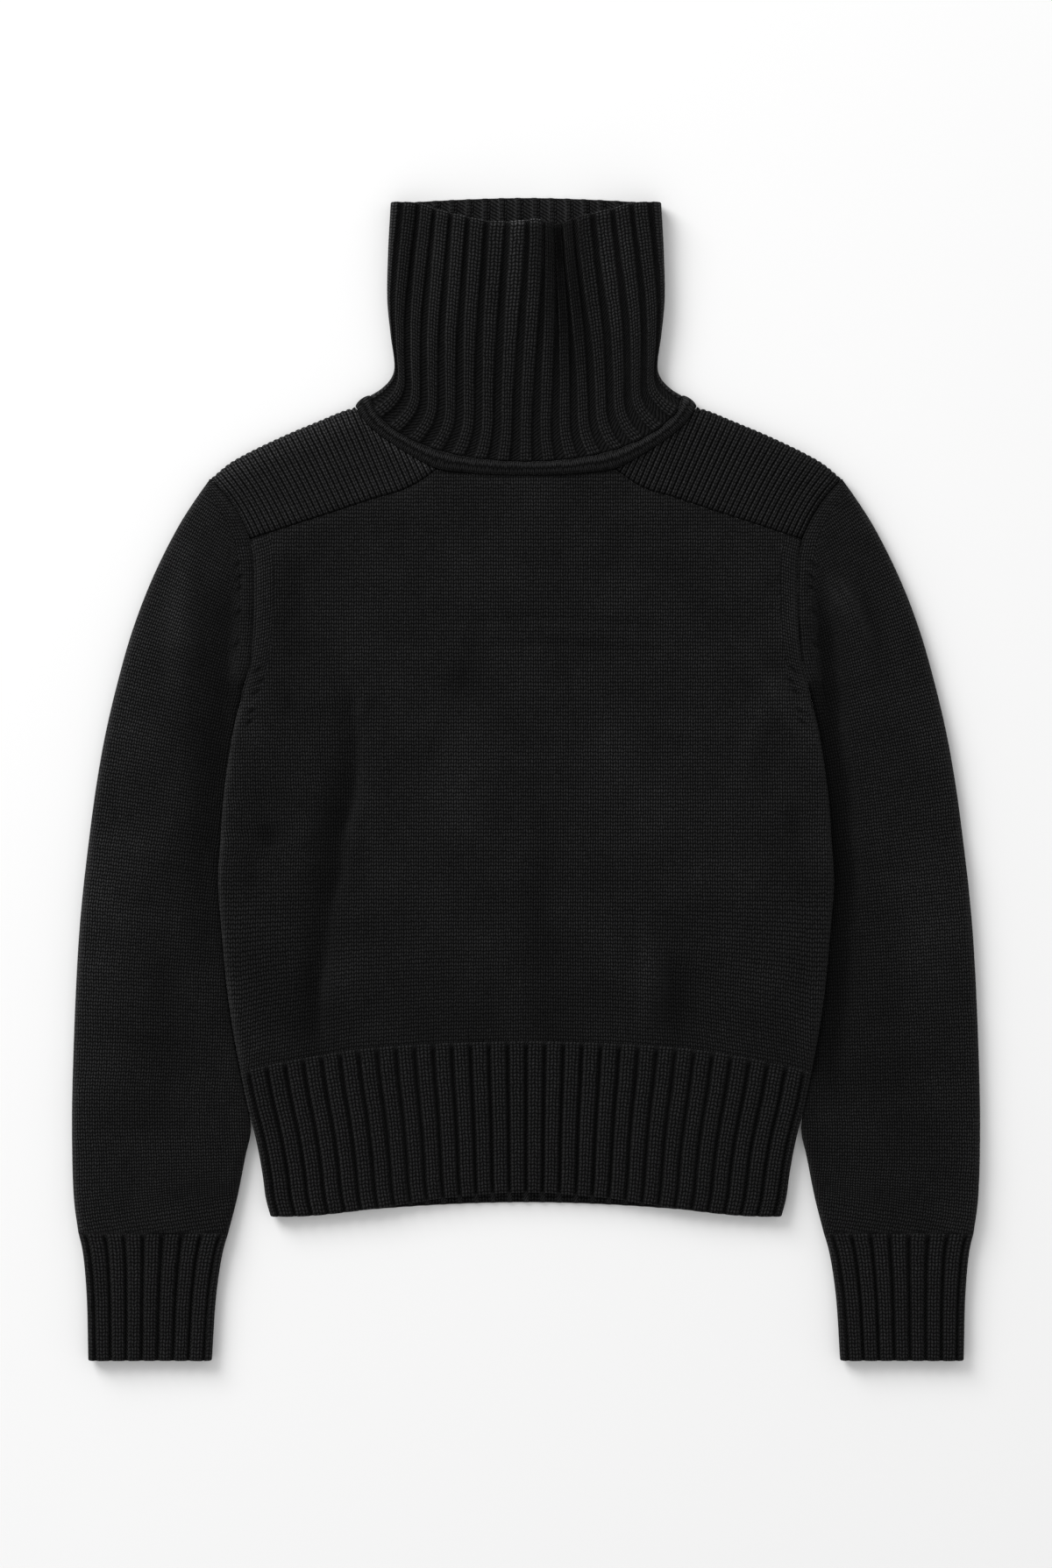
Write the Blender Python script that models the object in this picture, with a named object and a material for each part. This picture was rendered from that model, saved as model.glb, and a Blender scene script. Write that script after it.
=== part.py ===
"""Ribbed roll-neck sweater lying flat, front up, collar towards +Y, on the plane Z = 0.

Every piece is a wall of knitted cloth: rows of outer points, rows of inner points, and the rims
between them.  Sizes are millimetres; X runs across the body, Y up the body, Z off the surface.
"""
import math

import bmesh
import bpy
import numpy as np

METRES = 0.001

# ---------------------------------------------------------------- cloth
PLAIN_WALL = 3.2        # stocking stitch
RIB_WALL = 5.0          # 2x2 rib, from the inside face to a rib's crest
RIB_GROOVE = 1.8        # how far a groove lies under the crests
UNDER_WALL = 4.0        # 2x2 rib pressed flat on the surface
YOKE_WALL = 3.8         # fine rib, to its crests
YOKE_GROOVE = 1.0
SEAM_GAP = 0.3          # what a piece keeps back from each seam line
FOLD_GAP = 3.6          # space inside a folded edge
REST_GAP = 1.6          # space between layers that lie on each other
LEAST_GAP = 0.5
EDGE_ROLL = 16.0        # how far in from a folded edge the cloth stays lifted
PLAIN_MID = PLAIN_WALL + FOLD_GAP / 2       # height of a plain fold's middle line
RIB_MID = 6.3                               # the same on a ribbed fold
PLAIN_FOLD = 5.0                            # how far in from its edge a plain fold turns
RIB_FOLD = 6.3
UNDERARM_TURN = 16.0                        # length in which the side becomes a full fold

# ---------------------------------------------------------------- outlines
# Each row is one point of the right-hand half: x out from the middle, y up the body.
BODY_SIDE = (
    (212.0, -218.0), (216.9, -192.1), (222.6, -152.4), (226.5, -108.9),
    (228.8, -77.7), (227.2, -49.0), (224.1, -7.5), (217.0, 40.0), (212.0, 62.7),
)
ARMHOLE = ((212.0, 62.7), (205.5, 76.0), (202.0, 101.0), (201.4, 135.0), (202.0, 162.0), (204.7, 177.6))
YOKE_SEAM = (
    (66.0, 229.8), (78.0, 221.0), (92.0, 213.8), (110.0, 208.6), (139.0, 199.0),
    (176.0, 187.0), (204.7, 177.6),
)
SHOULDER = (
    (126.8, 276.0), (135.9, 273.3), (154.7, 265.5), (173.6, 257.7), (190.8, 249.9),
    (206.7, 242.1), (220.4, 234.3), (234.6, 222.6),
)
NECK_EDGE = ((66.0, 229.8), (95.5, 246.0), (117.6, 262.6), (126.8, 276.0))
NECK_FRONT = ((0.0, 225.0), (30.0, 225.7), (52.0, 227.8), (66.0, 229.8))
BAND_FRONT_TOP = (
    (0.0, 235.5), (35.0, 237.8), (65.0, 244.0), (91.0, 255.0), (103.0, 263.6), (112.0, 273.0),
    (115.5, 284.5),
)
BAND_BACK = ((0.0, 257.0), (40.0, 258.0), (80.0, 261.5), (105.0, 267.0), (126.8, 276.0))
BAND_BACK_TOP = ((0.0, 268.5), (60.0, 271.0), (90.0, 276.0), (115.5, 284.5))
COLLAR_SIDE = (
    (115.5, 284.5), (107.4, 289.6), (100.4, 297.0), (97.8, 304.5), (100.6, 330.0),
    (103.0, 355.0), (102.4, 390.0), (100.4, 427.7),
)
COLLAR_RIM = (
    (0.0, 413.4), (14.0, 411.6), (30.0, 412.0), (46.0, 415.7), (65.0, 420.8), (80.0, 426.0),
    (100.4, 427.7),
)
COLLAR_RIM_BACK = ((0.0, 431.9), (52.0, 430.5), (100.4, 427.7))
HEM_SEAM = ((0.0, -194.7), (64.0, -196.4), (127.0, -201.0), (192.0, -212.6), (212.0, -218.0))
HEM_SIDE = (
    (212.0, -218.0), (206.9, -242.8), (201.2, -264.9), (197.9, -280.5), (195.3, -296.1),
    (193.2, -311.7), (189.6, -325.0),
)
HEM_EDGE = ((0.0, -306.8), (60.0, -311.0), (117.0, -319.6), (160.0, -324.4), (189.6, -325.0))
HEM_EDGE_BACK = ((0.0, -314.9), (60.0, -316.5), (117.0, -320.4), (160.0, -324.4), (189.6, -325.0))
SLEEVE_OUTER = (
    (234.6, 222.6), (243.1, 210.9), (258.1, 187.5), (277.6, 148.5), (292.5, 109.5), (303.6, 70.5),
    (312.7, 31.5), (319.5, -7.5), (324.7, -46.5), (329.2, -85.5), (332.5, -124.5), (336.1, -202.5),
    (337.2, -260.0), (335.7, -311.7), (332.4, -336.8),
)
SLEEVE_INNER_END = ((204.4, -262.0), (208.3, -280.5), (214.5, -311.7), (220.9, -336.8))
CUFF_OUTER = ((332.4, -336.8), (329.2, -350.7), (326.3, -381.9), (325.0, -431.9))
CUFF_INNER = ((220.9, -336.8), (224.9, -350.7), (229.8, -381.9), (233.2, -431.9))
SLEEVE_CLEARANCE = 0.7      # between the body's side and the sleeve that lies along it

# ---------------------------------------------------------------- ribs
HEM_GROOVES = 31
COLLAR_GROOVES = 16
CUFF_GROOVES = 8
YOKE_RIBS = 36
GROOVE_MOUTH = 0.38         # share of a rib's pitch that its groove takes at the crests
GROOVE_FLOOR = 0.20         # and at its bottom
RIB_FAN = ((0.0, 0.0), (0.255, 0.391), (1.0, 1.0))  # share along the front seam, share along the top
YOKE_POINT = 0.02           # the shoulder panel starts this far along, so that its tip has a width
YOKE_ARM_BOW = 3.0

# ---------------------------------------------------------------- rows and steps
UNDERARM_STOPS = (0.0, 7.0, UNDERARM_TURN)      # rows near the underarm, by distance from it
BODY_ROWS = 11              # further rows, down to the hem
ARMHOLE_ROWS = 4            # and up to the shoulder panel
HEM_ROWS = 4
CUFF_ROWS = 3
COLLAR_ROWS = 8
SLEEVE_FREE_ROWS = 4
FRONT_NECK_STEPS = 8
FRONT_SEAM_STOPS = (1.0, 0.72, 0.45, 0.3, 0.2, 0.1, 0.0)    # closer where the seam curves
BACK_STEPS = (3, 8, 3)      # shoulder, neck, shoulder
YOKE_FLAT_STOPS = (0.0, 0.5, 1.0)
YOKE_ARC_STEPS = 3
BAND_FRONT_STEPS = 30
BAND_BACK_STEPS = 12
BAND_SIDES = 8

# ---------------------------------------------------------------- fits
YOKE_END = 0.997            # the shoulder panel stops this far along, clear of the sleeve
YOKE_REACH = PLAIN_FOLD + 0.7   # the back panel starts this far in from the shoulder line
BACK_NECK_END = (119.0, 272.2)  # where the back panel's shoulder meets the back neck
NECK_KEEP_BACK = 0.6        # what the shoulder panel keeps back from the band
BACK_KEEP_BACK = 1.0        # what the back panel keeps back from it
COLLAR_KEEP_BACK = 0.5      # and the collar
TIP_START = 4.0             # the sleeve's first row lies this far down the armhole
UNDERARM_OPPOSITE = (305.0, 65.0)   # the point across the sleeve from the underarm
HEM_WIDTH = 400.0
CUFF_WIDTH = 96.0
COLLAR_HALF = 103.0

# ---------------------------------------------------------------- folds
# Each row is a soft trough (depth < 0) or ridge: its two ends, its half width and its depth.
FRONT_FOLDS = (
    # x0,    y0,     x1,     y1,   half, depth
    (-116.0, 65.0, -131.0, -38.0, 24.0, -1.6),
    (-131.0, -38.0, -160.0, -170.0, 26.0, -1.8),
    (-206.0, 66.0, -136.0, 44.0, 12.0, -1.2),
    (-196.0, -30.0, -178.0, -78.0, 26.0, 1.6),
    (108.0, -118.0, 112.0, -186.0, 20.0, -1.8),
    (12.0, -20.0, 14.0, -112.0, 16.0, -0.9),
    (52.0, 118.0, 66.0, 152.0, 24.0, -1.2),
    (-168.0, 128.0, -176.0, 156.0, 22.0, -1.0),
    (-60.0, 60.0, -40.0, -60.0, 40.0, 1.3),
    (60.0, 40.0, 84.0, -60.0, 44.0, 1.4),
    (150.0, 20.0, 168.0, -90.0, 34.0, 1.5),
    (-150.0, -188.0, 150.0, -188.0, 12.0, 1.4),
)
SLEEVE_LEFT_FOLDS = (
    (-250.0, 170.0, -242.0, 118.0, 14.0, 1.8),
    (-226.0, 140.0, -234.0, -10.0, 13.0, -1.9),
    (-290.0, -40.0, -300.0, -160.0, 30.0, 1.2),
    (-262.0, -120.0, -270.0, -250.0, 24.0, -1.0),
)
SLEEVE_RIGHT_FOLDS = (
    (222.0, 140.0, 234.0, 0.0, 13.0, -1.9),
    (262.0, 130.0, 282.0, 60.0, 22.0, 1.5),
    (292.0, -60.0, 304.0, -180.0, 30.0, 1.2),
    (260.0, -130.0, 268.0, -250.0, 24.0, -1.0),
)
COLLAR_FOLDS = (
    (2.0, 418.0, 2.0, 300.0, 13.0, 2.4),
    (22.0, 420.0, 28.0, 318.0, 8.0, -4.2),
    (-52.0, 400.0, -60.0, 320.0, 26.0, 1.2),
    (62.0, 400.0, 66.0, 320.0, 26.0, 1.0),
)

# ---------------------------------------------------------------- collar and band heights
COLLAR_BASE_TOP = 10.9      # crest height where the collar leaves the band
COLLAR_RIM_TOP = 27.0       # crest height in the middle of the open rim
COLLAR_RIM_MID = 8.6        # height of the side fold's middle line at the rim
BAND_TOP_MID = 8.5
BAND_UNDER_MID = 2.5
BAND_HALF = 3.1             # half the band's thickness on top
BAND_UNDER_HALF = 2.5       # and underneath
BAND_TURN_HALF = 2.5        # and where it turns over at the shoulder
BAND_TURN_GAP = 1.3         # what it keeps back there from the collar and the shoulder panel
BAND_RADIUS = (BAND_TOP_MID - BAND_UNDER_MID) / 2
BAND_REACH = BAND_RADIUS + BAND_HALF    # the turn starts this far from the end of the band
BAND_BACK_REACH = BAND_REACH + 2.5      # and ends this far from it underneath

WOOL_COLOUR = (0.012, 0.012, 0.013, 1.0)


class Path:
    """A smooth plan curve through rows of points, read by its share of length."""

    def __init__(self, rows, per_span=14):
        knots = np.array(rows, float)
        before = np.vstack((2 * knots[0] - knots[1], knots[:-1]))
        after = np.vstack((knots[2:], 2 * knots[-1] - knots[-2]))
        dense = [knots[0]]
        for a, b, c, d in zip(before, knots[:-1], knots[1:], after):
            for step in range(1, per_span + 1):
                dense.append(spline_point(a, b, c, d, step / per_span))
        self.set_points(np.array(dense))

    def set_points(self, points):
        self.points = points
        spans = np.linalg.norm(np.diff(points, axis=0), axis=1)
        self.length = float(spans.sum())
        self.shares = np.concatenate(([0.0], np.cumsum(spans))) / self.length

    def at(self, share):
        return np.array([np.interp(share, self.shares, self.points[:, axis]) for axis in (0, 1)])

    def share_at(self, point):
        """The share at which the curve passes nearest to a point."""
        nearest = int(np.argmin(np.linalg.norm(self.points - np.array(point), axis=1)))
        return float(self.shares[nearest])


def spline_point(a, b, c, d, t):
    """Catmull-Rom with knots spaced by the root of their distance."""
    k0 = 0.0
    k1 = k0 + max(np.linalg.norm(b - a), 1e-6) ** 0.5
    k2 = k1 + max(np.linalg.norm(c - b), 1e-6) ** 0.5
    k3 = k2 + max(np.linalg.norm(d - c), 1e-6) ** 0.5
    k = k1 + (k2 - k1) * t
    a1 = (k1 - k) / (k1 - k0) * a + (k - k0) / (k1 - k0) * b
    a2 = (k2 - k) / (k2 - k1) * b + (k - k1) / (k2 - k1) * c
    a3 = (k3 - k) / (k3 - k2) * c + (k - k2) / (k3 - k2) * d
    b1 = (k2 - k) / (k2 - k0) * a1 + (k - k0) / (k2 - k0) * a2
    b2 = (k3 - k) / (k3 - k1) * a2 + (k - k1) / (k3 - k1) * a3
    return (k2 - k) / (k2 - k1) * b1 + (k - k1) / (k2 - k1) * b2


def from_points(points):
    path = Path.__new__(Path)
    path.set_points(np.array(points))
    return path


def joined(*paths):
    """One path along several, with the corners between them kept."""
    return from_points(np.vstack([paths[0].points] + [path.points[1:] for path in paths[1:]]))


def reversed_path(path):
    return from_points(path.points[::-1])


def mirrored(path):
    return from_points(path.points * np.array((-1.0, 1.0)))


def part_of(path, start, end, steps=60):
    return from_points([path.at(share) for share in np.linspace(start, end, steps + 1)])


def whole(rows):
    """A right-hand half that starts on the middle line, with its mirror image before it."""
    return tuple((-x, y) for x, y in reversed(rows)) + tuple(rows[1:])


def smooth_step(value, low, high):
    share = min(max((value - low) / (high - low), 0.0), 1.0)
    return share * share * (3 - 2 * share)


def coons(bottom, top, left, right):
    """The plan patch between four edges: bottom and top run left to right, the sides upwards."""
    corner = {(0, 0): bottom.at(0.0), (1, 0): bottom.at(1.0), (0, 1): top.at(0.0), (1, 1): top.at(1.0)}

    def place(u, v):
        across = (1 - v) * bottom.at(u) + v * top.at(u)
        along = (1 - u) * left.at(v) + u * right.at(v)
        flat = (1 - v) * ((1 - u) * corner[0, 0] + u * corner[1, 0])
        flat = flat + v * ((1 - u) * corner[0, 1] + u * corner[1, 1])
        return across + along - flat

    return place


def relief(folds, x, y):
    """Height of the folds at a point, each one fading to its ends and sides."""
    height = 0.0
    for x0, y0, x1, y1, half, depth in folds:
        run = np.array((x1 - x0, y1 - y0))
        reach = np.array((x - x0, y - y0))
        share = min(max(float(reach @ run) / float(run @ run), 0.0), 1.0)
        away = float(np.linalg.norm(reach - share * run)) / half
        height += depth * math.exp(-away * away) * (0.55 + 0.45 * math.sin(math.pi * share))
    return height


def layer_gap(rest, edge_lift, folds, x, y):
    """Space between the two layers: more at a folded edge, more or less in a fold."""
    gap = rest + (FOLD_GAP - rest) * edge_lift + relief(folds, x, y)
    return min(max(gap, LEAST_GAP), FOLD_GAP)


# ---------------------------------------------------------------- stations across a piece
# A station is (zone, share, groove): zones -1 and 1 are the left and right edges, where the share
# runs from 0 at the flat to 1 at the edge; zone 0 is the flat, where it runs left to right.

def plain_stations(flat_shares, arc_steps=2):
    left = [(-1, 1 - step / arc_steps, 0.0) for step in range(arc_steps)]
    right = [(1, (step + 1) / arc_steps, 0.0) for step in range(arc_steps)]
    return left + [(0, share, 0.0) for share in flat_shares] + right


def even(steps):
    return list(np.linspace(0.0, 1.0, steps + 1))


def even_parts(ends, steps):
    """Shares in even steps between each end and the next."""
    shares = [ends[0]]
    for low, high, count in zip(ends[:-1], ends[1:], steps):
        shares += list(np.linspace(low, high, count + 1))[1:]
    return shares


def ribbed_stations(grooves, width, fold):
    """Four stations to a groove, evenly over the flat and both folds, and more round each edge."""
    flat_half = width / 2 - fold
    reach = flat_half + fold * math.pi / 2
    pitch = 2 * reach / (grooves + 0.5)
    shape = ((-GROOVE_MOUTH, 0.0), (-GROOVE_FLOOR, 1.0), (GROOVE_FLOOR, 1.0), (GROOVE_MOUTH, 0.0))
    centres = [(index - (grooves - 1) / 2) * pitch for index in range(grooves)]
    first = centres[0] - GROOVE_MOUTH * pitch / 2
    places = [(place, 0.0) for place in np.linspace(-reach, first, 5)[:-1]]
    for centre in centres:
        places += [(centre + offset * pitch / 2, groove) for offset, groove in shape]
    places += [(place, 0.0) for place in np.linspace(-first, reach, 6)[1:]]
    return [station_at(place, flat_half, reach, groove) for place, groove in places]


def station_at(place, flat_half, reach, groove):
    if abs(place) <= flat_half:
        return (0, (place + flat_half) / (2 * flat_half), groove)
    return (int(math.copysign(1, place)), (abs(place) - flat_half) / (reach - flat_half), groove)


def every_fourth(stations):
    """The inner face needs one station to a rib."""
    return list(range(0, len(stations), 4))


def all_of(stations):
    return list(range(len(stations)))


class Layer:
    """One layer of a flattened tube: its plan, its folded edges, its height and its wall."""

    def __init__(self, place, wall, middle, top=None, groove=0.0, fold=PLAIN_FOLD, wrap=(1.0, 1.0)):
        self.place = place          # plan point from (share across, share along)
        self.wall = wall
        self.middle = as_rule(middle)   # height at which a folded edge is upright
        self.top = top              # crest height from (share along, x, y, lift), or None underneath
        self.groove = groove
        self.fold = as_rule(fold)       # how far in an edge starts to turn, left and right
        self.wrap = as_rule(wrap)       # how fully each edge is turned, left and right

    def rows(self, stations, shares):
        outer_rows = []
        inner_rows = []
        for v in shares:
            width = row_length(self.place, v)
            pairs = [self.pair(station, v, width) for station in stations]
            outer_rows.append([pair[0] for pair in pairs])
            inner_rows.append([pair[1] for pair in pairs])
        return outer_rows, inner_rows

    def pair(self, station, v, width):
        """The outer and the inner point of one station."""
        zone, share, groove = station
        folds = as_pair(self.fold(v))
        wraps = as_pair(self.wrap(v))
        right = zone > 0
        wrap = wraps[right] if zone else 0.0
        angle = wrap * share * math.pi / 2
        points = []
        start = None
        for sunk in (groove * self.groove, self.wall):
            inward = folds[right] * (1 - (1 - wrap) * share - wrap * math.sin(angle))
            inward += sunk * math.sin(angle)
            across = width - inward if right else inward
            if zone == 0:
                across = folds[0] + share * (width - folds[0] - folds[1])
            x, y = self.place(across / width, v)
            if start is None:
                start = self.level(v, x, y, across, width, wraps)
            toward = -1 if self.top else 1
            turn = (self.middle(v) - start) * (1 - math.cos(angle))
            points.append((x, y, start + turn + toward * sunk * math.cos(angle)))
        return points

    def level(self, v, x, y, across, width, wraps):
        if self.top is None:
            return 0.0
        lifts = [wraps[0] * math.exp(-(across / EDGE_ROLL) ** 2),
                 wraps[1] * math.exp(-((width - across) / EDGE_ROLL) ** 2)]
        return self.top(v, x, y, max(lifts))


def as_rule(value):
    return value if callable(value) else lambda v: value


def as_pair(value):
    return value if isinstance(value, tuple) else (value, value)


def row_length(place, v, steps=24):
    points = np.array([place(step / steps, v) for step in range(steps + 1)])
    return float(np.linalg.norm(np.diff(points, axis=0), axis=1).sum())


# ---------------------------------------------------------------- solids
def fill_strip(bm, lower, upper):
    for k in range(len(lower) - 1):
        bm.faces.new((lower[k], lower[k + 1], upper[k + 1], upper[k]))


def fill_rim(bm, outer, inner, kept):
    """Join a row of outer points to the fewer inner ones that lie under some of them."""
    for here, there, a, b in zip(inner[:-1], inner[1:], kept[:-1], kept[1:]):
        if b - a == 1:
            bm.faces.new((outer[a], outer[b], there, here))
            continue
        middle = (a + b) // 2
        for k in range(a, b):
            bm.faces.new((outer[k], outer[k + 1], here if k < middle else there))
        bm.faces.new((outer[middle], there, here))


def wall_solid(name, outer_rows, inner_rows, kept, closed_rows, collection):
    """One closed body: outer face, inner face and the rims; a closed row ends where it starts."""
    bm = bmesh.new()
    outer = [row_vertices(bm, row, closed) for row, closed in zip(outer_rows, closed_rows)]
    inner = [row_vertices(bm, [row[k] for k in kept], closed)
             for row, closed in zip(inner_rows, closed_rows)]
    for layer in (outer, inner):
        for lower, upper in zip(layer[:-1], layer[1:]):
            fill_strip(bm, lower, upper)
    fill_rim(bm, outer[0], inner[0], kept)
    fill_rim(bm, outer[-1], inner[-1], kept)
    for index in range(len(outer) - 1):
        if closed_rows[index] and closed_rows[index + 1]:
            continue
        for end in (0, -1):
            bm.faces.new((outer[index][end], outer[index + 1][end],
                          inner[index + 1][end], inner[index][end]))
    return finish_solid(name, bm, collection)


def row_vertices(bm, row, closed):
    count = len(row) - 1 if closed else len(row)
    vertices = [bm.verts.new(np.array(point) * METRES) for point in row[:count]]
    return vertices + vertices[:1] if closed else vertices


def finish_solid(name, bm, collection):
    bmesh.ops.recalc_face_normals(bm, faces=bm.faces)
    mesh = bpy.data.meshes.new(name)
    bm.to_mesh(mesh)
    bm.free()
    mesh.shade_smooth()
    piece = bpy.data.objects.new(name, mesh)
    piece.data.materials.append(wool_material(name))
    collection.objects.link(piece)
    return piece


def wool_material(name):
    material = bpy.data.materials.new(name + "_wool")
    material.use_nodes = True
    shader = material.node_tree.nodes["Principled BSDF"]
    shader.inputs["Base Color"].default_value = WOOL_COLOUR
    shader.inputs["Roughness"].default_value = 0.92
    shader.inputs["Metallic"].default_value = 0.0
    return material


def tube(name, top, under, top_stations, under_stations, kept_top, shares, side, collection,
         closed=lambda v: True):
    """A top layer and the layer under it as one wall, joined round the folded edges."""
    top_rows = top.rows(top_stations, shares)
    under_rows = under.rows(under_stations, shares)
    outer, inner = [[list(reversed(upper)) + lower[1:] for upper, lower in zip(*rows)]
                    for rows in zip(top_rows, under_rows)]
    outer = [[flip_solid(point, side) for point in row] for row in outer]
    inner = [[flip_solid(point, side) for point in row] for row in inner]
    last = len(top_stations) - 1
    kept = [last - k for k in reversed(kept_top)]
    kept += [last + k for k in range(1, len(under_stations))]
    return wall_solid(name, outer, inner, kept, [closed(v) for v in shares], collection)


def flip_solid(point, side):
    return (point[0] * side, point[1], point[2])


# ---------------------------------------------------------------- shared edges
NECK_PATH = Path(whole(NECK_FRONT + NECK_EDGE[1:]))
NECK_CORNER = NECK_PATH.share_at(NECK_EDGE[0])
YOKE_SEAM_PATH = Path(YOKE_SEAM)
YOKE_TOP_PATH = joined(part_of(NECK_PATH, NECK_CORNER, 1.0), Path(SHOULDER))
BODY_SIDE_PATH = Path(BODY_SIDE + ARMHOLE[1:])
UNDERARM_SHARE = BODY_SIDE_PATH.share_at(ARMHOLE[0])


def yoke_place(u, v):
    """The right-hand shoulder panel: straight ribs from the front seam to the neck and shoulder."""
    seam = YOKE_SEAM_PATH.at(u)
    fan_u, fan_top = zip(*RIB_FAN)
    top = YOKE_TOP_PATH.at(np.interp(u, fan_u, fan_top))
    bow = YOKE_ARM_BOW * u ** 3 * math.sin(math.pi * v)
    return seam + v * (top - seam) + bow * np.array((-0.83, 0.55))


def armhole_path():
    """From the tip of the shoulder down to the underarm."""
    upper = from_points([yoke_place(1.0, 1 - step / 12) for step in range(13)])
    return joined(upper, reversed_path(part_of(BODY_SIDE_PATH, UNDERARM_SHARE, 1.0)))


ARMHOLE_PATH = armhole_path()
SIDE_LENGTH = BODY_SIDE_PATH.length * UNDERARM_SHARE        # hem to underarm
ARMHOLE_LENGTH = BODY_SIDE_PATH.length - SIDE_LENGTH        # underarm to shoulder panel
ARM_TOP_LENGTH = ARMHOLE_PATH.length - ARMHOLE_LENGTH       # along the shoulder panel to the tip


def stops_from_underarm(length, rows):
    """Distances from the underarm at which the body and the sleeve both have a row."""
    far = np.linspace(UNDERARM_STOPS[-1], length, rows + 1)
    return list(UNDERARM_STOPS) + list(far[1:])


BELOW_STOPS = stops_from_underarm(SIDE_LENGTH, BODY_ROWS)
ABOVE_STOPS = stops_from_underarm(ARMHOLE_LENGTH, ARMHOLE_ROWS)


# ---------------------------------------------------------------- body
def body_shares(path, extra=()):
    """Shares along a body side for the rows below and above the underarm, from the hem upwards."""
    stops = [SIDE_LENGTH - stop for stop in reversed(BELOW_STOPS)]
    stops += [SIDE_LENGTH + stop for stop in ABOVE_STOPS[1:]]
    stops += [SIDE_LENGTH + stop for stop in extra]
    stops[0] += SEAM_GAP
    stops[-1] = min(stops[-1], path.length) - (0.0 if extra else SEAM_GAP)
    return [stop / path.length for stop in stops]


def side_wrap(path):
    """How fully the side is folded: not at all along the armhole, wholly below it."""
    return lambda v: smooth_step(SIDE_LENGTH - v * path.length, 0.0, UNDERARM_TURN)


def keep_back(place, gap):
    """The same patch, drawn in by a gap at its two sides."""

    def inner_place(u, v):
        margin = gap / row_length(place, v, 4)
        return place(margin + u * (1 - 2 * margin), v)

    return inner_place


def body_top(v, x, y, lift):
    return 2 * PLAIN_WALL + layer_gap(REST_GAP, lift, FRONT_FOLDS, x, y)


def make_front(collection):
    seam = YOKE_SEAM_PATH
    neck = part_of(NECK_PATH, 1 - NECK_CORNER, NECK_CORNER)
    top = joined(reversed_path(mirrored(seam)), neck, seam)
    place = coons(Path(whole(HEM_SEAM)), top, mirrored(BODY_SIDE_PATH), BODY_SIDE_PATH)
    corner = seam.length / top.length
    seam_shares = [corner * (1 - share) for share in FRONT_SEAM_STOPS]
    shares = seam_shares + even_parts((corner, 1 - corner), (FRONT_NECK_STEPS,))[1:-1]
    shares += [1 - share for share in reversed(seam_shares)]
    stations = plain_stations(shares)
    layer = Layer(keep_back(place, SEAM_GAP), PLAIN_WALL, PLAIN_MID + SEAM_GAP / 2, body_top,
                  wrap=side_wrap(BODY_SIDE_PATH))
    outer, inner = layer.rows(stations, body_shares(BODY_SIDE_PATH))
    return wall_solid("front", outer, inner, all_of(stations), [False] * len(outer), collection)


def make_back(collection):
    shoulder = inset_shoulder()
    corner = ARM_TOP_LENGTH / ARMHOLE_PATH.length
    arm_top = part_of(ARMHOLE_PATH, YOKE_REACH / ARMHOLE_PATH.length, corner)
    side = joined(BODY_SIDE_PATH, reversed_path(arm_top))
    neck = from_points(Path(whole(BAND_BACK)).points - np.array((0.0, BACK_KEEP_BACK)))
    ends = neck.share_at(BACK_NECK_END)
    top = joined(reversed_path(mirrored(shoulder)), part_of(neck, 1 - ends, ends), shoulder)
    place = coons(Path(whole(HEM_SEAM)), top, mirrored(side), side)
    corner = shoulder.length / top.length
    stations = plain_stations(even_parts((0.0, corner, 1 - corner, 1.0), BACK_STEPS))
    layer = Layer(keep_back(place, SEAM_GAP), PLAIN_WALL, PLAIN_MID - SEAM_GAP / 2,
                  wrap=side_wrap(side))
    above = (ARMHOLE_LENGTH + ARM_TOP_LENGTH / 2, side.length - SIDE_LENGTH)
    outer, inner = layer.rows(stations, body_shares(side, above))
    return wall_solid("back", outer, inner, all_of(stations), [False] * len(outer), collection)


def inset_shoulder():
    """The back panel's edge along the shoulder, from the neck outwards, inside the turned-over yoke."""
    path = Path(SHOULDER)
    points = [BACK_NECK_END]
    for share in np.linspace(0.08, 0.92, 8):
        ahead = path.at(share + 0.01) - path.at(share - 0.01)
        inward = np.array((ahead[1], -ahead[0])) / np.linalg.norm(ahead)
        points.append(path.at(share) + inward * YOKE_REACH)
    points.append(ARMHOLE_PATH.at(YOKE_REACH / ARMHOLE_PATH.length))
    return Path(points)


def hem_top(v, x, y, lift):
    return UNDER_WALL + RIB_WALL + layer_gap(REST_GAP, lift, (), x, y)


def make_hems(collection):
    side = reversed_path(Path(HEM_SIDE))
    shares = np.linspace(0.0, 1 - SEAM_GAP / side.length, HEM_ROWS + 1)
    seam = Path(whole(HEM_SEAM))
    front = Layer(coons(Path(whole(HEM_EDGE)), seam, mirrored(side), side), RIB_WALL,
                  RIB_MID + SEAM_GAP / 2, hem_top, RIB_GROOVE, RIB_FOLD)
    stations = ribbed_stations(HEM_GROOVES, HEM_WIDTH, RIB_FOLD)
    outer, inner = front.rows(stations, shares)
    wall_solid("hem_front", outer, inner, every_fourth(stations), [False] * len(outer), collection)
    back = Layer(coons(Path(whole(HEM_EDGE_BACK)), seam, mirrored(side), side), UNDER_WALL,
                 RIB_MID - SEAM_GAP / 2, fold=RIB_FOLD)
    stations = plain_stations(even(12))
    outer, inner = back.rows(stations, shares)
    wall_solid("hem_back", outer, inner, all_of(stations), [False] * len(outer), collection)


# ---------------------------------------------------------------- shoulder panels
def yoke_wrap(u):
    """Ribs that end at the neck stay flat; those that reach the shoulder turn right over it."""
    return smooth_step(u, RIB_FAN[1][0] - 0.01, RIB_FAN[1][0] + 0.04)


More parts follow.
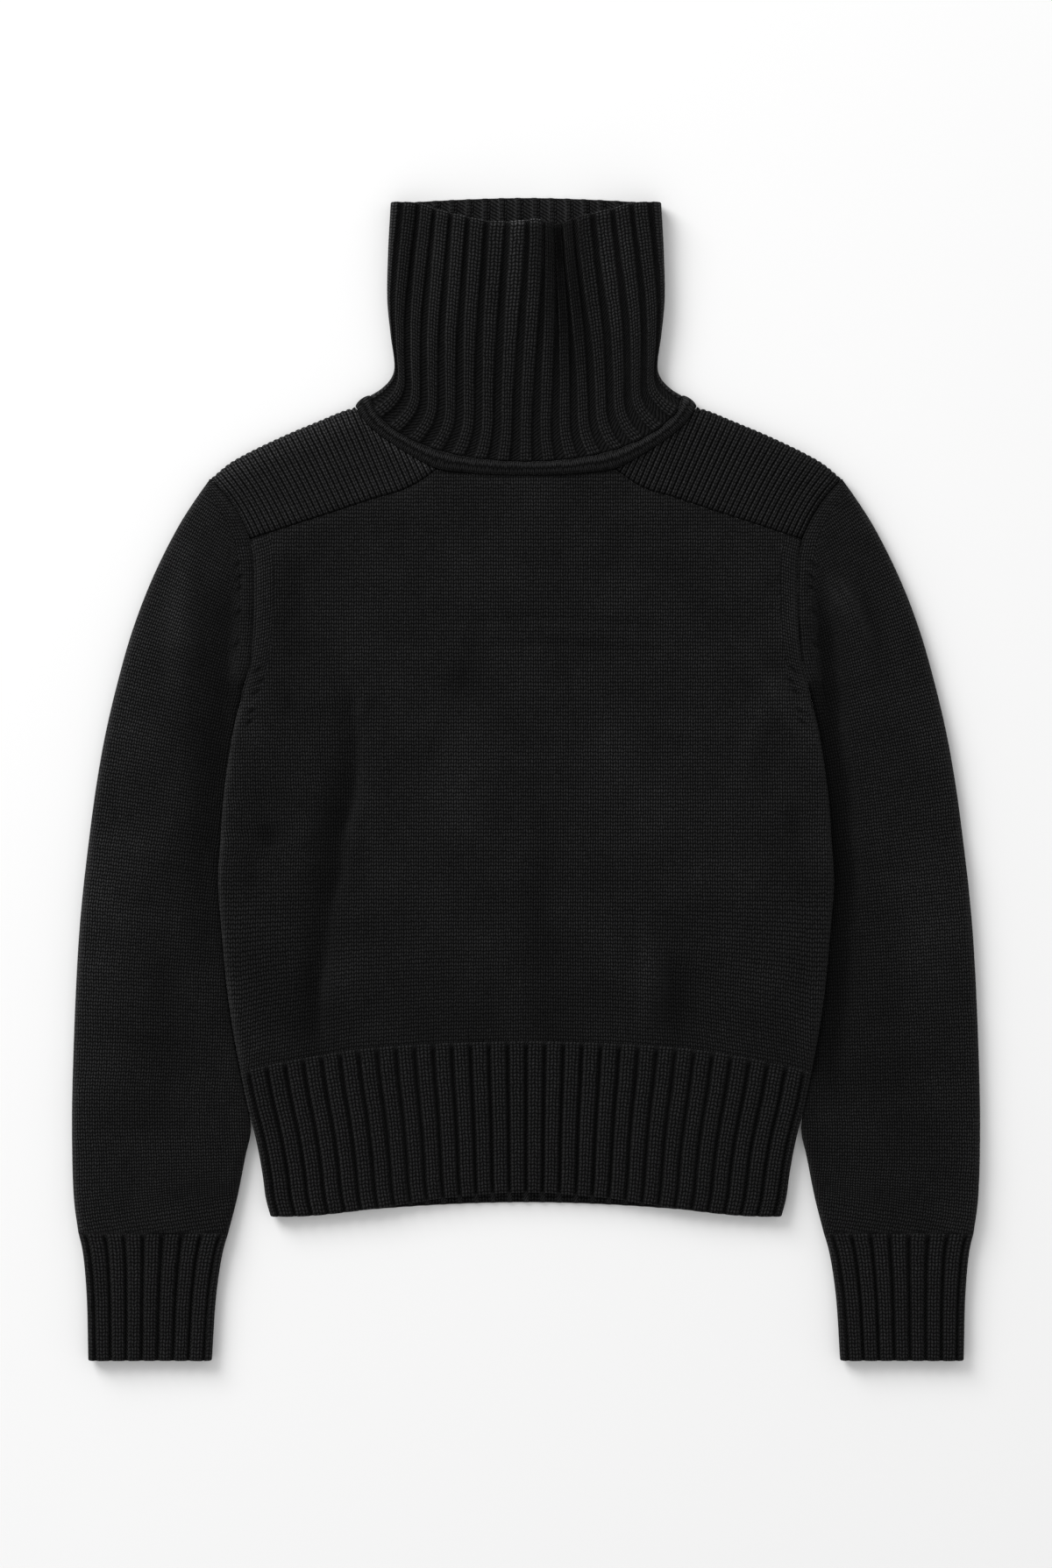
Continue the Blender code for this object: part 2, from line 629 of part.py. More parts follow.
def make_yoke(name, side, collection):
    columns = [yoke_column(u, YOKE_GROOVE * (index % 2))
               for index, u in enumerate(np.linspace(YOKE_POINT, YOKE_END, 2 * YOKE_RIBS + 1))]
    outer, inner = [[[flip_solid(column[row][face], side) for column in columns]
                     for row in range(len(columns[0]))] for face in (0, 1)]
    kept = list(range(0, len(columns), 4))
    return wall_solid(name, outer, inner, kept, [False] * len(outer), collection)


def yoke_column(u, groove):
    """One rib line: up the front, then turned over the shoulder as far as its wrap goes."""
    length = float(np.linalg.norm(yoke_place(u, 1.0) - yoke_place(u, 0.0)))
    wrap = yoke_wrap(u)
    fold = PLAIN_FOLD * wrap + NECK_KEEP_BACK * (1 - wrap)
    start = SEAM_GAP / length
    pairs = []
    for share in YOKE_FLAT_STOPS:
        v = start + share * (1 - fold / length - start)
        x, y = yoke_place(u, v)
        level = yoke_level((1 - v) * length, wrap)
        pairs.append(((x, y, level - groove), (x, y, level - YOKE_WALL)))
    level = yoke_level(fold, wrap)
    for step in range(1, YOKE_ARC_STEPS + 1):
        angle = math.pi * wrap * step / YOKE_ARC_STEPS
        flat_step = (1 - wrap) * NECK_KEEP_BACK * 0.2 * step
        pair = []
        for sunk in (groove, YOKE_WALL):
            reach = flat_step + (fold - sunk) * math.sin(angle) * wrap
            x, y = yoke_place(u, 1 - (fold - reach) / length)
            pair.append((x, y, level / 2 + (level / 2 - sunk) * math.cos(angle)))
        pairs.append(tuple(pair))
    return pairs


def yoke_level(inset, wrap):
    lift = wrap * math.exp(-(inset / EDGE_ROLL) ** 2)
    return PLAIN_WALL + YOKE_WALL + layer_gap(REST_GAP, lift, (), 0.0, 0.0)


# ---------------------------------------------------------------- sleeves
def sleeve_inner_path():
    """From the shoulder's tip round the armhole, along the body's side, then free of it to the cuff."""
    hem = Path(HEM_SIDE)
    beside = [BODY_SIDE_PATH.at(share) for share in np.linspace(UNDERARM_SHARE, 0.0, 25)]
    beside += [hem.at(share) for share in (0.08, 0.18, 0.28)]
    shifted = [tuple(point + np.array((SLEEVE_CLEARANCE, 0.0))) for point in beside]
    return joined(ARMHOLE_PATH, Path(shifted + list(SLEEVE_INNER_END), 6))


def make_sleeve(name, side, folds, collection):
    outer_edge = Path(SLEEVE_OUTER)
    inner_edge = sleeve_inner_path()
    underarm = ARMHOLE_PATH.length
    opposite = outer_edge.length * outer_edge.share_at(UNDERARM_OPPOSITE)

    def inner_share(v):
        """Rows cross the sleeve squarely: the underarm lies across from its own point outside."""
        along = np.interp(v * outer_edge.length, (0.0, opposite, outer_edge.length),
                          (0.0, underarm, inner_edge.length))
        return along / inner_edge.length

    stops = [TIP_START, ARM_TOP_LENGTH / 2]
    stops += [underarm - stop for stop in reversed(ABOVE_STOPS)]
    stops += [underarm + stop for stop in BELOW_STOPS[1:]]
    free = inner_edge.length - stops[-1]
    stops += [stops[-1] + free * (k + 1) / SLEEVE_FREE_ROWS for k in range(SLEEVE_FREE_ROWS)]
    stops[-1] -= SEAM_GAP
    shares = [float(np.interp(stop, (0.0, underarm, inner_edge.length),
                              (0.0, opposite, outer_edge.length))) / outer_edge.length
              for stop in stops]

    def place(u, v):
        """A patch that starts as a point at the shoulder's tip."""
        outer = outer_edge.at(v)
        inner = inner_edge.at(inner_share(v))
        margin = SEAM_GAP / max(float(np.linalg.norm(inner - outer)), 1.0)
        return outer + (inner - outer) * u * (1 - margin)

    def wrap(v):
        past = inner_share(v) * inner_edge.length - underarm
        return (1.0, smooth_step(past, -UNDERARM_TURN, 0.0))

    def fold(v):
        width = row_length(place, v, 2)
        inner_fold = PLAIN_FOLD if wrap(v)[1] > 0 else 0.2 * width
        return (min(PLAIN_FOLD, 0.7 * width), min(PLAIN_FOLD, inner_fold))

    def top(v, x, y, lift):
        return 2 * PLAIN_WALL + layer_gap(REST_GAP, lift, folds, x * side, y)

    upper = Layer(place, PLAIN_WALL, PLAIN_MID, top, fold=fold, wrap=wrap)
    under = Layer(place, PLAIN_WALL, PLAIN_MID, fold=fold, wrap=wrap)
    top_stations = plain_stations(even(8))
    return tube(name, upper, under, top_stations, plain_stations(even(4)), all_of(top_stations),
                shares, side, collection, lambda v: wrap(v)[1] > 0.999)


def make_cuff(name, side, collection):
    edges = (CUFF_OUTER, CUFF_INNER)
    ends = [Path([edge[row] for edge in edges]) for row in (0, -1)]
    outer_edge, inner_edge = [Path(edge) for edge in edges]
    place = coons(ends[0], ends[1], outer_edge, inner_edge)
    shares = np.linspace(SEAM_GAP / outer_edge.length, 1.0, CUFF_ROWS + 1)
    upper = Layer(place, RIB_WALL, RIB_MID, hem_top, RIB_GROOVE, RIB_FOLD)
    under = Layer(place, UNDER_WALL, RIB_MID, fold=RIB_FOLD)
    top_stations = ribbed_stations(CUFF_GROOVES, CUFF_WIDTH, RIB_FOLD)
    return tube(name, upper, under, top_stations, plain_stations(even(4)),
                every_fourth(top_stations), shares, side, collection)


# ---------------------------------------------------------------- collar and neck band
def collar_open(v):
    """How far the collar has opened: closed at the band, wide at the rim."""
    return smooth_step(v, 0.05, 1.0)


def collar_place(base, rim):
    side = Path(COLLAR_SIDE)
    return coons(Path(whole(base)), Path(whole(rim)), mirrored(side), side)


def collar_middle(v):
    return RIB_MID + (COLLAR_RIM_MID - RIB_MID) * collar_open(v)


def collar_top(v, x, y, lift):
    edge = 2 * collar_middle(v)
    crown = COLLAR_BASE_TOP + (COLLAR_RIM_TOP - COLLAR_BASE_TOP) * collar_open(v)
    arch = math.cos(min(abs(x) / COLLAR_HALF, 1.0) * math.pi / 2) ** 1.3
    return edge + (crown - edge) * arch + relief(COLLAR_FOLDS, x, y) * collar_open(v)


def make_collar(collection):
    length = Path(COLLAR_SIDE).length
    shares = np.linspace(COLLAR_KEEP_BACK / length, 1.0, COLLAR_ROWS + 1)
    upper = Layer(collar_place(BAND_FRONT_TOP, COLLAR_RIM), RIB_WALL, collar_middle, collar_top,
                  RIB_GROOVE, collar_middle)
    under = Layer(collar_place(BAND_BACK_TOP, COLLAR_RIM_BACK), UNDER_WALL, collar_middle,
                  fold=collar_middle)
    top_stations = ribbed_stations(COLLAR_GROOVES, 2 * COLLAR_HALF, RIB_FOLD)
    return tube("collar", upper, under, top_stations, plain_stations(even(10)),
                every_fourth(top_stations), shares, 1, collection)


def make_neck_band(collection):
    front = (NECK_PATH, Path(whole(BAND_FRONT_TOP)))
    back = (Path(whole(BAND_BACK)), Path(whole(BAND_BACK_TOP)))
    front_end = BAND_REACH / front[0].length
    back_end = BAND_BACK_REACH / back[0].length
    halves = [BAND_TURN_HALF] + [BAND_HALF] * (BAND_FRONT_STEPS - 1) + [BAND_TURN_HALF]
    sections = [band_section(front, share, BAND_TOP_MID, half, 1.0) for share, half
                in zip(np.linspace(front_end, 1 - front_end, BAND_FRONT_STEPS + 1), halves)]
    sections += band_turn(front, back, 1.0)
    sections += [band_section(back, share, BAND_UNDER_MID, BAND_UNDER_HALF, -1.0)
                 for share in np.linspace(1 - back_end, back_end, BAND_BACK_STEPS + 1)]
    sections += reversed(band_turn(front, back, 0.0))
    bm = bmesh.new()
    rings = [row_vertices(bm, section + section[:1], True) for section in sections]
    for ring, following in zip(rings, rings[1:] + rings[:1]):
        fill_strip(bm, ring, following)
    return finish_solid("neck_band", bm, collection)


def band_section(edges, share, level, half, up):
    """One section across the band, from its body edge to its collar edge."""
    outer, inner = [edge.at(share) for edge in edges]
    centre = np.array((*(outer + inner) / 2, level))
    return band_ring(centre, inner - outer, np.array((0.0, 0.0, up)), half)


def band_turn(front, back, end):
    """Sections where the band turns from the top layer to the lower one, at one end of both."""
    middle = (BAND_TOP_MID + BAND_UNDER_MID) / 2
    sections = []
    for step in (1, 2, 3):
        angle = math.pi * step / 4
        inset = BAND_REACH - BAND_RADIUS * math.sin(angle)
        lean = smooth_step(angle, 0.0, math.pi)
        outer, inner = [(1 - lean) * near_end(above, end, inset) + lean * near_end(below, end, inset)
                        for above, below in zip(front, back)]
        across = inner - outer
        outward = np.array((across[1], -across[0])) / np.linalg.norm(across)
        outward *= math.copysign(1.0, outward[0] * (end - 0.5))
        centre = np.array((*(outer + inner) / 2, middle + BAND_RADIUS * math.cos(angle)))
        normal = np.array((*(outward * math.sin(angle)), math.cos(angle)))
        sections.append(band_ring(centre, across, normal, BAND_TURN_HALF, BAND_TURN_GAP))
    return sections


def near_end(path, end, inset):
    """The point a given length short of one end of a path."""
    return path.at(abs(end - inset / path.length))


def band_ring(centre, across, normal, half, gap=SEAM_GAP):
    width = float(np.linalg.norm(across))
    reach = np.array((*across, 0.0)) / width * (width / 2 - gap)
    ring = []
    for step in range(BAND_SIDES):
        angle = 2 * math.pi * (step + 0.5) / BAND_SIDES
        ring.append(centre + reach * math.cos(angle) + normal * half * math.sin(angle))
    return ring


# ---------------------------------------------------------------- the sweater
def clear_scene():
    for item in list(bpy.data.objects):
        bpy.data.objects.remove(item, do_unlink=True)


def main():
    clear_scene()
    sweater = bpy.data.collections.new("roll_neck_sweater")
    bpy.context.scene.collection.children.link(sweater)
    make_front(sweater)
    make_back(sweater)
    make_hems(sweater)
    for name, side, folds in (("left", -1, SLEEVE_LEFT_FOLDS), ("right", 1, SLEEVE_RIGHT_FOLDS)):
        make_yoke("yoke_" + name, side, sweater)
        make_sleeve("sleeve_" + name, side, folds, sweater)
        make_cuff("cuff_" + name, side, sweater)
    make_neck_band(sweater)
    make_collar(sweater)


main()
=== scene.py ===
"""A black roll-neck sweater laid flat: knitted shells, seams, wool and light around its solids.

Tables and sizes are millimetres: X across the body, Y up it, Z off the surface it lies on.
Left and right are as seen from above, with the collar away from the viewer.
"""
import functools
import math

import bmesh
import bpy
import numpy as np
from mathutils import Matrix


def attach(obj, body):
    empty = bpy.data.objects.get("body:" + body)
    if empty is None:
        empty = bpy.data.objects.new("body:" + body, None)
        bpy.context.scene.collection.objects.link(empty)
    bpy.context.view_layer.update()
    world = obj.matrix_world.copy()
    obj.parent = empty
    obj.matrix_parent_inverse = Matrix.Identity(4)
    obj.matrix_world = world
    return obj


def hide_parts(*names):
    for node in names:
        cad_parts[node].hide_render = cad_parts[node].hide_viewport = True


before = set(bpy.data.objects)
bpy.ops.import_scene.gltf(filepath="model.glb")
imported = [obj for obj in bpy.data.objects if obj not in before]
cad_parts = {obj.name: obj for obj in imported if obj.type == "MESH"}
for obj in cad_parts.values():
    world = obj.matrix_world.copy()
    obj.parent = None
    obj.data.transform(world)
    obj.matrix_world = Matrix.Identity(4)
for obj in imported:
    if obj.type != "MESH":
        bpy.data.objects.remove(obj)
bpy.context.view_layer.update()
METRES = 0.001

# ---------------------------------------------------------------- outlines
# Each row is one point of the right-hand half: x out from the middle, y up the body.
BODY_SIDE = (
    (212.0, -218.0), (216.9, -192.1), (222.6, -152.4), (226.5, -108.9),
    (228.8, -77.7), (227.2, -49.0), (224.1, -7.5), (217.0, 38.0), (211.0, 62.7),
)
ARMHOLE = ((211.0, 62.7), (205.8, 82.0), (202.6, 105.0), (201.4, 135.0), (202.0, 162.0), (204.7, 177.6))
YOKE_SEAM = (
    (66.0, 229.8), (78.0, 221.0), (92.0, 213.8), (110.0, 208.6), (139.0, 199.0),
    (176.0, 187.0), (204.7, 177.6),
)
SHOULDER = (
    (126.8, 276.0), (135.9, 273.3), (154.7, 265.5), (173.6, 257.7), (190.8, 249.9),
    (206.7, 242.1), (220.4, 234.3), (234.6, 222.6),
)
NECK_EDGE = ((66.0, 229.8), (95.5, 246.0), (117.6, 262.6), (126.8, 276.0))
NECK_FRONT = ((0.0, 225.0), (30.0, 225.7), (52.0, 227.8), (66.0, 229.8))
BAND_FRONT_TOP = (
    (0.0, 235.5), (35.0, 237.8), (65.0, 244.0), (91.0, 255.0), (103.0, 263.6), (112.0, 273.0),
    (115.5, 284.5),
)
BAND_BACK = ((0.0, 257.0), (40.0, 258.0), (80.0, 261.5), (105.0, 267.0), (126.8, 276.0))
BAND_BACK_TOP = ((0.0, 268.5), (60.0, 271.0), (90.0, 276.0), (115.5, 284.5))
COLLAR_SIDE = (
    (115.5, 284.5), (107.4, 289.6), (100.4, 297.0), (97.8, 304.5), (100.6, 330.0),
    (103.0, 355.0), (102.4, 390.0), (100.4, 427.7),
)
COLLAR_RIM = (
    (0.0, 413.4), (14.0, 411.6), (30.0, 412.0), (46.0, 415.7), (65.0, 420.8), (80.0, 426.0),
    (100.4, 427.7),
)
COLLAR_RIM_BACK = ((0.0, 431.9), (52.0, 430.5), (100.4, 427.7))
HEM_SEAM = ((0.0, -194.7), (64.0, -196.4), (127.0, -201.0), (192.0, -212.6), (212.0, -218.0))
HEM_SIDE = (
    (212.0, -218.0), (206.9, -242.8), (201.2, -264.9), (197.9, -280.5), (195.3, -296.1),
    (193.2, -311.7), (189.6, -325.0),
)
HEM_EDGE = ((0.0, -306.8), (60.0, -311.0), (117.0, -319.6), (160.0, -324.4), (189.6, -325.0))
HEM_EDGE_BACK = ((0.0, -314.9), (60.0, -316.5), (117.0, -320.4), (160.0, -324.4), (189.6, -325.0))
SLEEVE_OUTER = (
    (234.6, 222.6), (243.1, 210.9), (258.1, 187.5), (277.6, 148.5), (292.5, 109.5), (303.6, 70.5),
    (312.7, 31.5), (319.5, -7.5), (324.7, -46.5), (329.2, -85.5), (332.5, -124.5), (336.1, -202.5),
    (337.2, -260.0), (335.7, -311.7), (332.4, -336.8),
)
SLEEVE_INNER_END = ((204.4, -262.0), (208.3, -280.5), (214.5, -311.7), (220.9, -336.8))
UNDERARM_OPPOSITE = (305.0, 65.0)       # the point across the sleeve from the underarm
CUFF_OUTER = ((332.4, -336.8), (329.2, -350.7), (326.3, -381.9), (325.0, -431.9))
CUFF_INNER = ((220.9, -336.8), (224.9, -350.7), (229.8, -381.9), (233.2, -431.9))
# Where a shoulder panel's ribs start and end: share along the front seam, share along the top.
RIB_FAN = ((0.0, 0.0), (0.143, 0.170), (0.2375, 0.309), (0.259, 0.391), (1.0, 1.0))
YOKE_CORNER = 0.259     # the rib that ends where neck and shoulder meet
YOKE_ARM_BOW = 3.0
YOKE_REACH = 5.7        # how far inside the shoulder line the back panel ends
BACK_NECK_END = (126.6, 275.3)

# ---------------------------------------------------------------- cloth
PLAIN_WALL = 2.6
RIB_WALL = 4.8          # from the inside face to a rib's crest
UNDER_RIB_WALL = 3.8
RIB_GROOVE = 2.8
UNDER_GROOVE = 1.8
RIB_FADE = 5.0          # how soon ribs rise out of the plain cloth
YOKE_WALL = 3.2
YOKE_GROOVE = 1.8
# A rib's groove: half its floor and half its mouth, as shares of the ribs' pitch.
EDGE_RIB = (0.075, 0.175)
COLLAR_RIB_BASE = (0.19, 0.28)
COLLAR_RIB_RIM = (0.09, 0.19)
SEAM_GAP = 0.3
TOUCH_GAP = 0.03
PLAIN_FOLD = 6.5        # how far in from its edge a plain fold turns
RIB_FOLD = 6.3
BODY_TOP = 11.0         # height of the top layer away from its edges
EDGE_RISE = 2.0         # how much higher it lies along a folded edge
EDGE_ROLL = 17.0
BODY_MIDDLE = 6.0       # height of the folded edge's outermost line
RIB_MIDDLE = 6.0
SLEEVE_MIDDLE = 5.0
MIDDLE_STEP = 0.1       # a front lies this much above that line, and a back as much below it
HEM_TOP = 11.0
SLEEVE_TOP = 11.0
CALM_SHARE = 0.35       # how much of its folds plain cloth keeps where it meets a ribbed edge
CALM_REACH = 14.0
SWELL_REACH = 8.0       # how wide it swells just before that edge
UNDERARM_TURN = 16.0
LOWEST_TOP = 5.4        # a top layer is pressed down no further than this
PRESS_SOFTNESS = 1.1    # how gently it comes to rest there
WALE = 3.7              # width of one knitted stitch
COURSE = 2.72           # height of one
SEAM_DIP = 1.5          # how far cloth sinks towards a seam
SEAM_REACH = 3.0
EDGE_WALES = 4          # columns that follow an armhole's edge on the body
SLEEVE_EDGE_WALES = 3
MARK_DEPTH = 1.5        # shaping stitches pull a small slanting notch into the cloth
FOLD_SHADE_RATE = 0.13        # how fast the painted shade darkens wool with the depth of a fold
SHADED_UNEVENNESS = 1.1   # how much of the slow unevenness counts as folds for the painted shading
EDGE_HIGHLIGHT_REACH = 8.0          # how far in from a folded edge the painted highlight reaches
SEAM_SHADE = 0.7        # painted shade: how much darker a seam's line is, and how far it reaches
SEAM_LINE = 1.5
GROOVE_SHADE = 0.82     # painted shade: how much darker the floor of a rib's groove is
NARROW_SHADE = 1.25     # that shade's strength in the narrowest groove
WIDE_LIGHT = 3.2        # and how much of it each share of floor lets go
FOOT_SHADE = 0.45       # the painted shade in the corners beside that floor
HEM_PAINTED_SHADE = 0.94          # painted shade that makes the hem a little darker than the collar and the cuffs
# Painted shading of the shoulder panels: painted highlight on a rib's crest, painted shade in its groove.
YOKE_CREST_HIGHLIGHT = 1.6
YOKE_GROOVE_SHADE = 1.55
PAINTED_LOW_SHADE = 0.07          # painted shade: how much darker the front is low down, and out towards its sides, as the light falls off
PAINTED_SIDE_SHADE = 0.06
PAINTED_SLEEVE_LOW_SHADE = 0.1

HEM_GROOVES = 31
COLLAR_GROOVES = 16
CUFF_GROOVES = 8
YOKE_RIBS = 36
# Widths over which a piece's columns of points are spread.
BODY_WIDTH = 440.0
SLEEVE_WIDTH = 118.0
HEM_WIDTH = 400.0
CUFF_WIDTH = 96.0
COLLAR_HALF = 103.0
YOKE_WIDTH = 145.0      # a shoulder panel from the neck to the armhole
MARGIN_WIDTH = 430.0    # the body's width where its sides are drawn in by a hair
# How finely the pieces are divided, across and along.
FRONT_COLUMNS, FRONT_ROWS = 281, 261
BACK_COLUMNS, BACK_ROWS = 161, 141
SLEEVE_COLUMNS, SLEEVE_UNDER_COLUMNS = 121, 41
SLEEVE_HEAD_ROWS, SLEEVE_ARM_ROWS = 90, 220
HEM_COLUMNS, HEM_BACK_COLUMNS, HEM_ROWS = 381, 321, 44
CUFF_COLUMNS, CUFF_ROWS = 113, 36
COLLAR_COLUMNS, COLLAR_ROWS = 301, 84
YOKE_RIB_COLUMNS, YOKE_ROWS, YOKE_TURN_ROWS = 6, 34, 8
BAND_FRONT_SECTIONS, BAND_BACK_SECTIONS = 45, 25

# ---------------------------------------------------------------- folds
# Each row: the line that the fold follows, its width to the left and right of that line, its depth.
FRONT_FOLDS = (
    (((-131, 62), (-127, 22), (-129, -12), (-137, -40)), 6, 13, -3.6),
    (((-130, 4), (-138, -32), (-142, -64), (-150, -96)), 8, 15, -5.4),
    (((-141, -66), (-147, -96), (-153, -130), (-157, -156), (-157, -210)), 8, 12, -4.6),
    (((-138, -20), (-140, -44)), 6, 9, -2.4),
    (((-155, -136), (-158, -166)), 7, 9, -2.2),
    (((-118, 66), (-123, 44)), 4, 5, 1.4),
    (((-116, 20), (-110, -40), (-114, -92)), 10, 8, 1.3),
    (((-126, -110), (-134, -160)), 12, 8, 1.0),
    (((-160, 60), (-178, -40), (-176, -200)), 34, 26, -1.5),
    (((-181, 74), (-174, 42)), 9, 10, -2.4),
    (((-191, -34), (-187, -52)), 9, 12, -3.0),
    (((-203, -70), (-199, -82)), 6, 7, -1.5),
    (((-206, 40), (-195, 22)), 8, 9, 2.2),
    (((-162, -26), (-164, -52)), 8, 8, 2.0),
    (((-178, 12), (-178, -90), (-188, -140)), 13, 14, 1.0),
    (((-196, -196), (-100, -184), (0, -180), (100, -184), (196, -196)), 26, 26, -1.5),
    (((-172, 166), (-175, 112), (-166, 84)), 15, 11, -2.4),
    (((13, 0), (11, -105), (13, -188)), 18, 12, -2.4),
    (((110, -126), (111, -200)), 16, 9, -4.0),
    (((88, -100), (92, -144), (87, -192)), 7, 7, 2.0),
    (((-64, 116), (13, 120), (98, 113)), 4, 4, -1.2),
    (((-46, 97), (13, 101), (97, 95)), 4, 4, -1.1),
    (((-30, 124), (-50, 60), (-74, 4)), 14, 9, -2.0),
    (((22, 90), (40, 40), (34, -10)), 13, 11, -1.4),
    (((160, 102), (185, 66), (207, 30)), 8, 7, 2.2),
    (((192, 72), (170, 36), (155, -12)), 8, 9, 2.0),
    (((196, -22), (202, -46)), 8, 9, -2.8),
    (((-84, 196), (-100, 160)), 11, 9, -1.6),
    (((78, 190), (62, 150)), 11, 11, -1.5),
    (((-60, 176), (-40, 150), (-44, 128)), 11, 11, 1.2),
    (((60, 60), (84, -60)), 30, 30, 1.8),
    (((-52, 60), (-40, -60)), 22, 22, 1.8),
    (((150, 0), (164, -90)), 26, 26, 1.8),
    (((-40, -212), (-20, -170)), 14, 14, -1.8),
    (((30, -216), (22, -180)), 12, 12, -1.6),
)
SLEEVE_FOLDS = {
    -1: (
        (((-250, 176), (-256, 110), (-258, 56)), 9, 11, 3.4),
        (((-219, 152), (-221, 110), (-225, 60), (-231, 10), (-237, -50)), 8, 19, -5.0),
        (((-236, -30), (-239, -77), (-235, -150)), 10, 18, -2.4),
        (((-300, -60), (-244, -70)), 4, 5, -1.0),
        (((-296, -92), (-250, -98)), 4, 5, -0.9),
        (((-292, -40), (-302, -160)), 26, 26, 1.6),
        (((-262, -120), (-272, -250)), 18, 18, -1.6),
        (((-284, 60), (-300, 0)), 16, 16, 1.2),
        (((-320, -190), (-240, -200)), 7, 7, -1.0),
        (((-318, -262), (-236, -256)), 8, 6, -0.9),
    ),
    1: (
        (((217, 146), (218, 120), (221, 84), (225, 46), (230, 0), (234, -76), (232, -140), (226, -236)),
         12, 6, -6.2),
        (((219, 132), (221, 96), (225, 56)), 12, 5, -3.6),
        (((246, 150), (258, 116), (268, 70)), 8, 9, -2.4),
        (((224, 152), (240, 128), (254, 98)), 6, 6, 2.4),
        (((292, -60), (304, -180)), 24, 24, 1.8),
        (((268, -110), (276, -250)), 16, 18, -1.6),
        (((246, -64), (318, -74)), 5, 5, -1.0),
        (((246, -210), (326, -220)), 7, 7, -1.0),
        (((284, 60), (300, 0)), 16, 16, 1.2),
    ),
}
# How far a sleeve's inner edge is tucked down beside the body, by y from the hem upwards.
SLEEVE_TUCK = {
    -1: ((-290.0, 0.0), (-230.0, 0.6), (-120.0, 1.8), (-40.0, 3.6), (60.0, 3.6)),
    1: ((-290.0, 0.0), (-255.0, 3.0), (-200.0, 4.6), (60.0, 4.6)),
}
COLLAR_FOLDS = (
    (((-8, 500), (-8, 415), (-6, 350), (-3, 256)), 11, 10, 2.2),
    (((21, 510), (23, 415), (27, 356), (33, 300), (35, 270)), 18, 10, -9.0),
    (((21, 470), (23, 420), (25, 370)), 10, 7, -6.0),
    (((-50, 410), (-60, 320)), 20, 20, 1.2),
    (((62, 410), (66, 320)), 20, 20, 1.8),
    (((-84, 430), (-86, 330)), 10, 10, -1.6),
)
# The collar's ribs draw together towards its deepest fold.
COLLAR_GATHER = ((22.0, 35.0, 24.0, 7.5),)  # x at the rim, x at the base, reach, pull
# Shaping stitches beside the armholes, right-hand side: x, y.
BODY_MARKS = ((198.5, 81.0), (196.5, 72.5), (199.5, 64.5), (203.5, 50.0), (205.0, 42.0))
SLEEVE_MARKS = ((213.5, 159.0), (211.8, 150.0), (211.8, 141.5), (212.5, 124.0), (214.0, 100.0))
# Heights of the slow unevenness of hand-smoothed cloth: wave length, direction in degrees, height.
UNEVENNESS = (
    (97.0, 12.0, 0.50), (61.0, 77.0, 0.30), (47.0, 131.0, 0.24), (31.0, 48.0, 0.14),
    (27.0, 103.0, 0.11), (19.0, 160.0, 0.07), (17.0, 29.0, 0.05),
)

# ---------------------------------------------------------------- collar and neck band
COLLAR_BASE_TOP = 11.4
COLLAR_RIM_TOP = 27.0
COLLAR_RIM_MIDDLE = 8.6
BAND_TOP_MIDDLE = 9.6
BAND_UNDER_MIDDLE = 2.7
BAND_HALF = 3.7
BAND_UNDER_HALF = 2.6
BAND_TURN_HALF = 2.9
BAND_RADIUS = (BAND_TOP_MIDDLE - BAND_UNDER_MIDDLE) / 2
BAND_REACH = BAND_RADIUS + BAND_TURN_HALF - 2.8
BAND_BACK_INSET = 2.5
BAND_GAP = 0.2          # between the band and the pieces beside it
BAND_WALE = 3.0
BAND_COURSES = 6.0      # round the whole band
BAND_ANGLES = 2 * np.pi * (np.arange(8) + 0.5) / 8     # round the band's section, from its collar side
# Painted shading round the neck band, on top of its wool's colour.
BAND_PAINTED_LEVEL = 1.12
BAND_SHADE = 0.5        # painted shading: how much lighter it is towards the collar, and darker towards the body, as light falls on a roll


# ---------------------------------------------------------------- plan curves
class Path:
    """A smooth plan curve through rows of points, read by its share of length."""

    def __init__(self, rows, per_span=14):
        knots = np.array(rows, float)
        before = np.vstack((2 * knots[0] - knots[1], knots[:-1]))
        after = np.vstack((knots[2:], 2 * knots[-1] - knots[-2]))
        dense = [knots[:1]]
        for a, b, c, d in zip(before, knots[:-1], knots[1:], after):
            dense.append(spline_points(a, b, c, d, np.arange(1, per_span + 1) / per_span))
        self.set_points(np.vstack(dense))

    def set_points(self, points):
        self.points = np.asarray(points, float)
        spans = np.linalg.norm(np.diff(self.points, axis=0), axis=1)
        self.length = float(spans.sum())
        self.shares = np.concatenate(([0.0], np.cumsum(spans))) / self.length

    def at(self, share):
        """Points at an array of shares, with x and y on the last axis."""
        return np.stack([np.interp(share, self.shares, self.points[:, axis]) for axis in (0, 1)], -1)

    def share_at(self, point):
        nearest = int(np.argmin(np.linalg.norm(self.points - np.array(point), axis=1)))
        return float(self.shares[nearest])


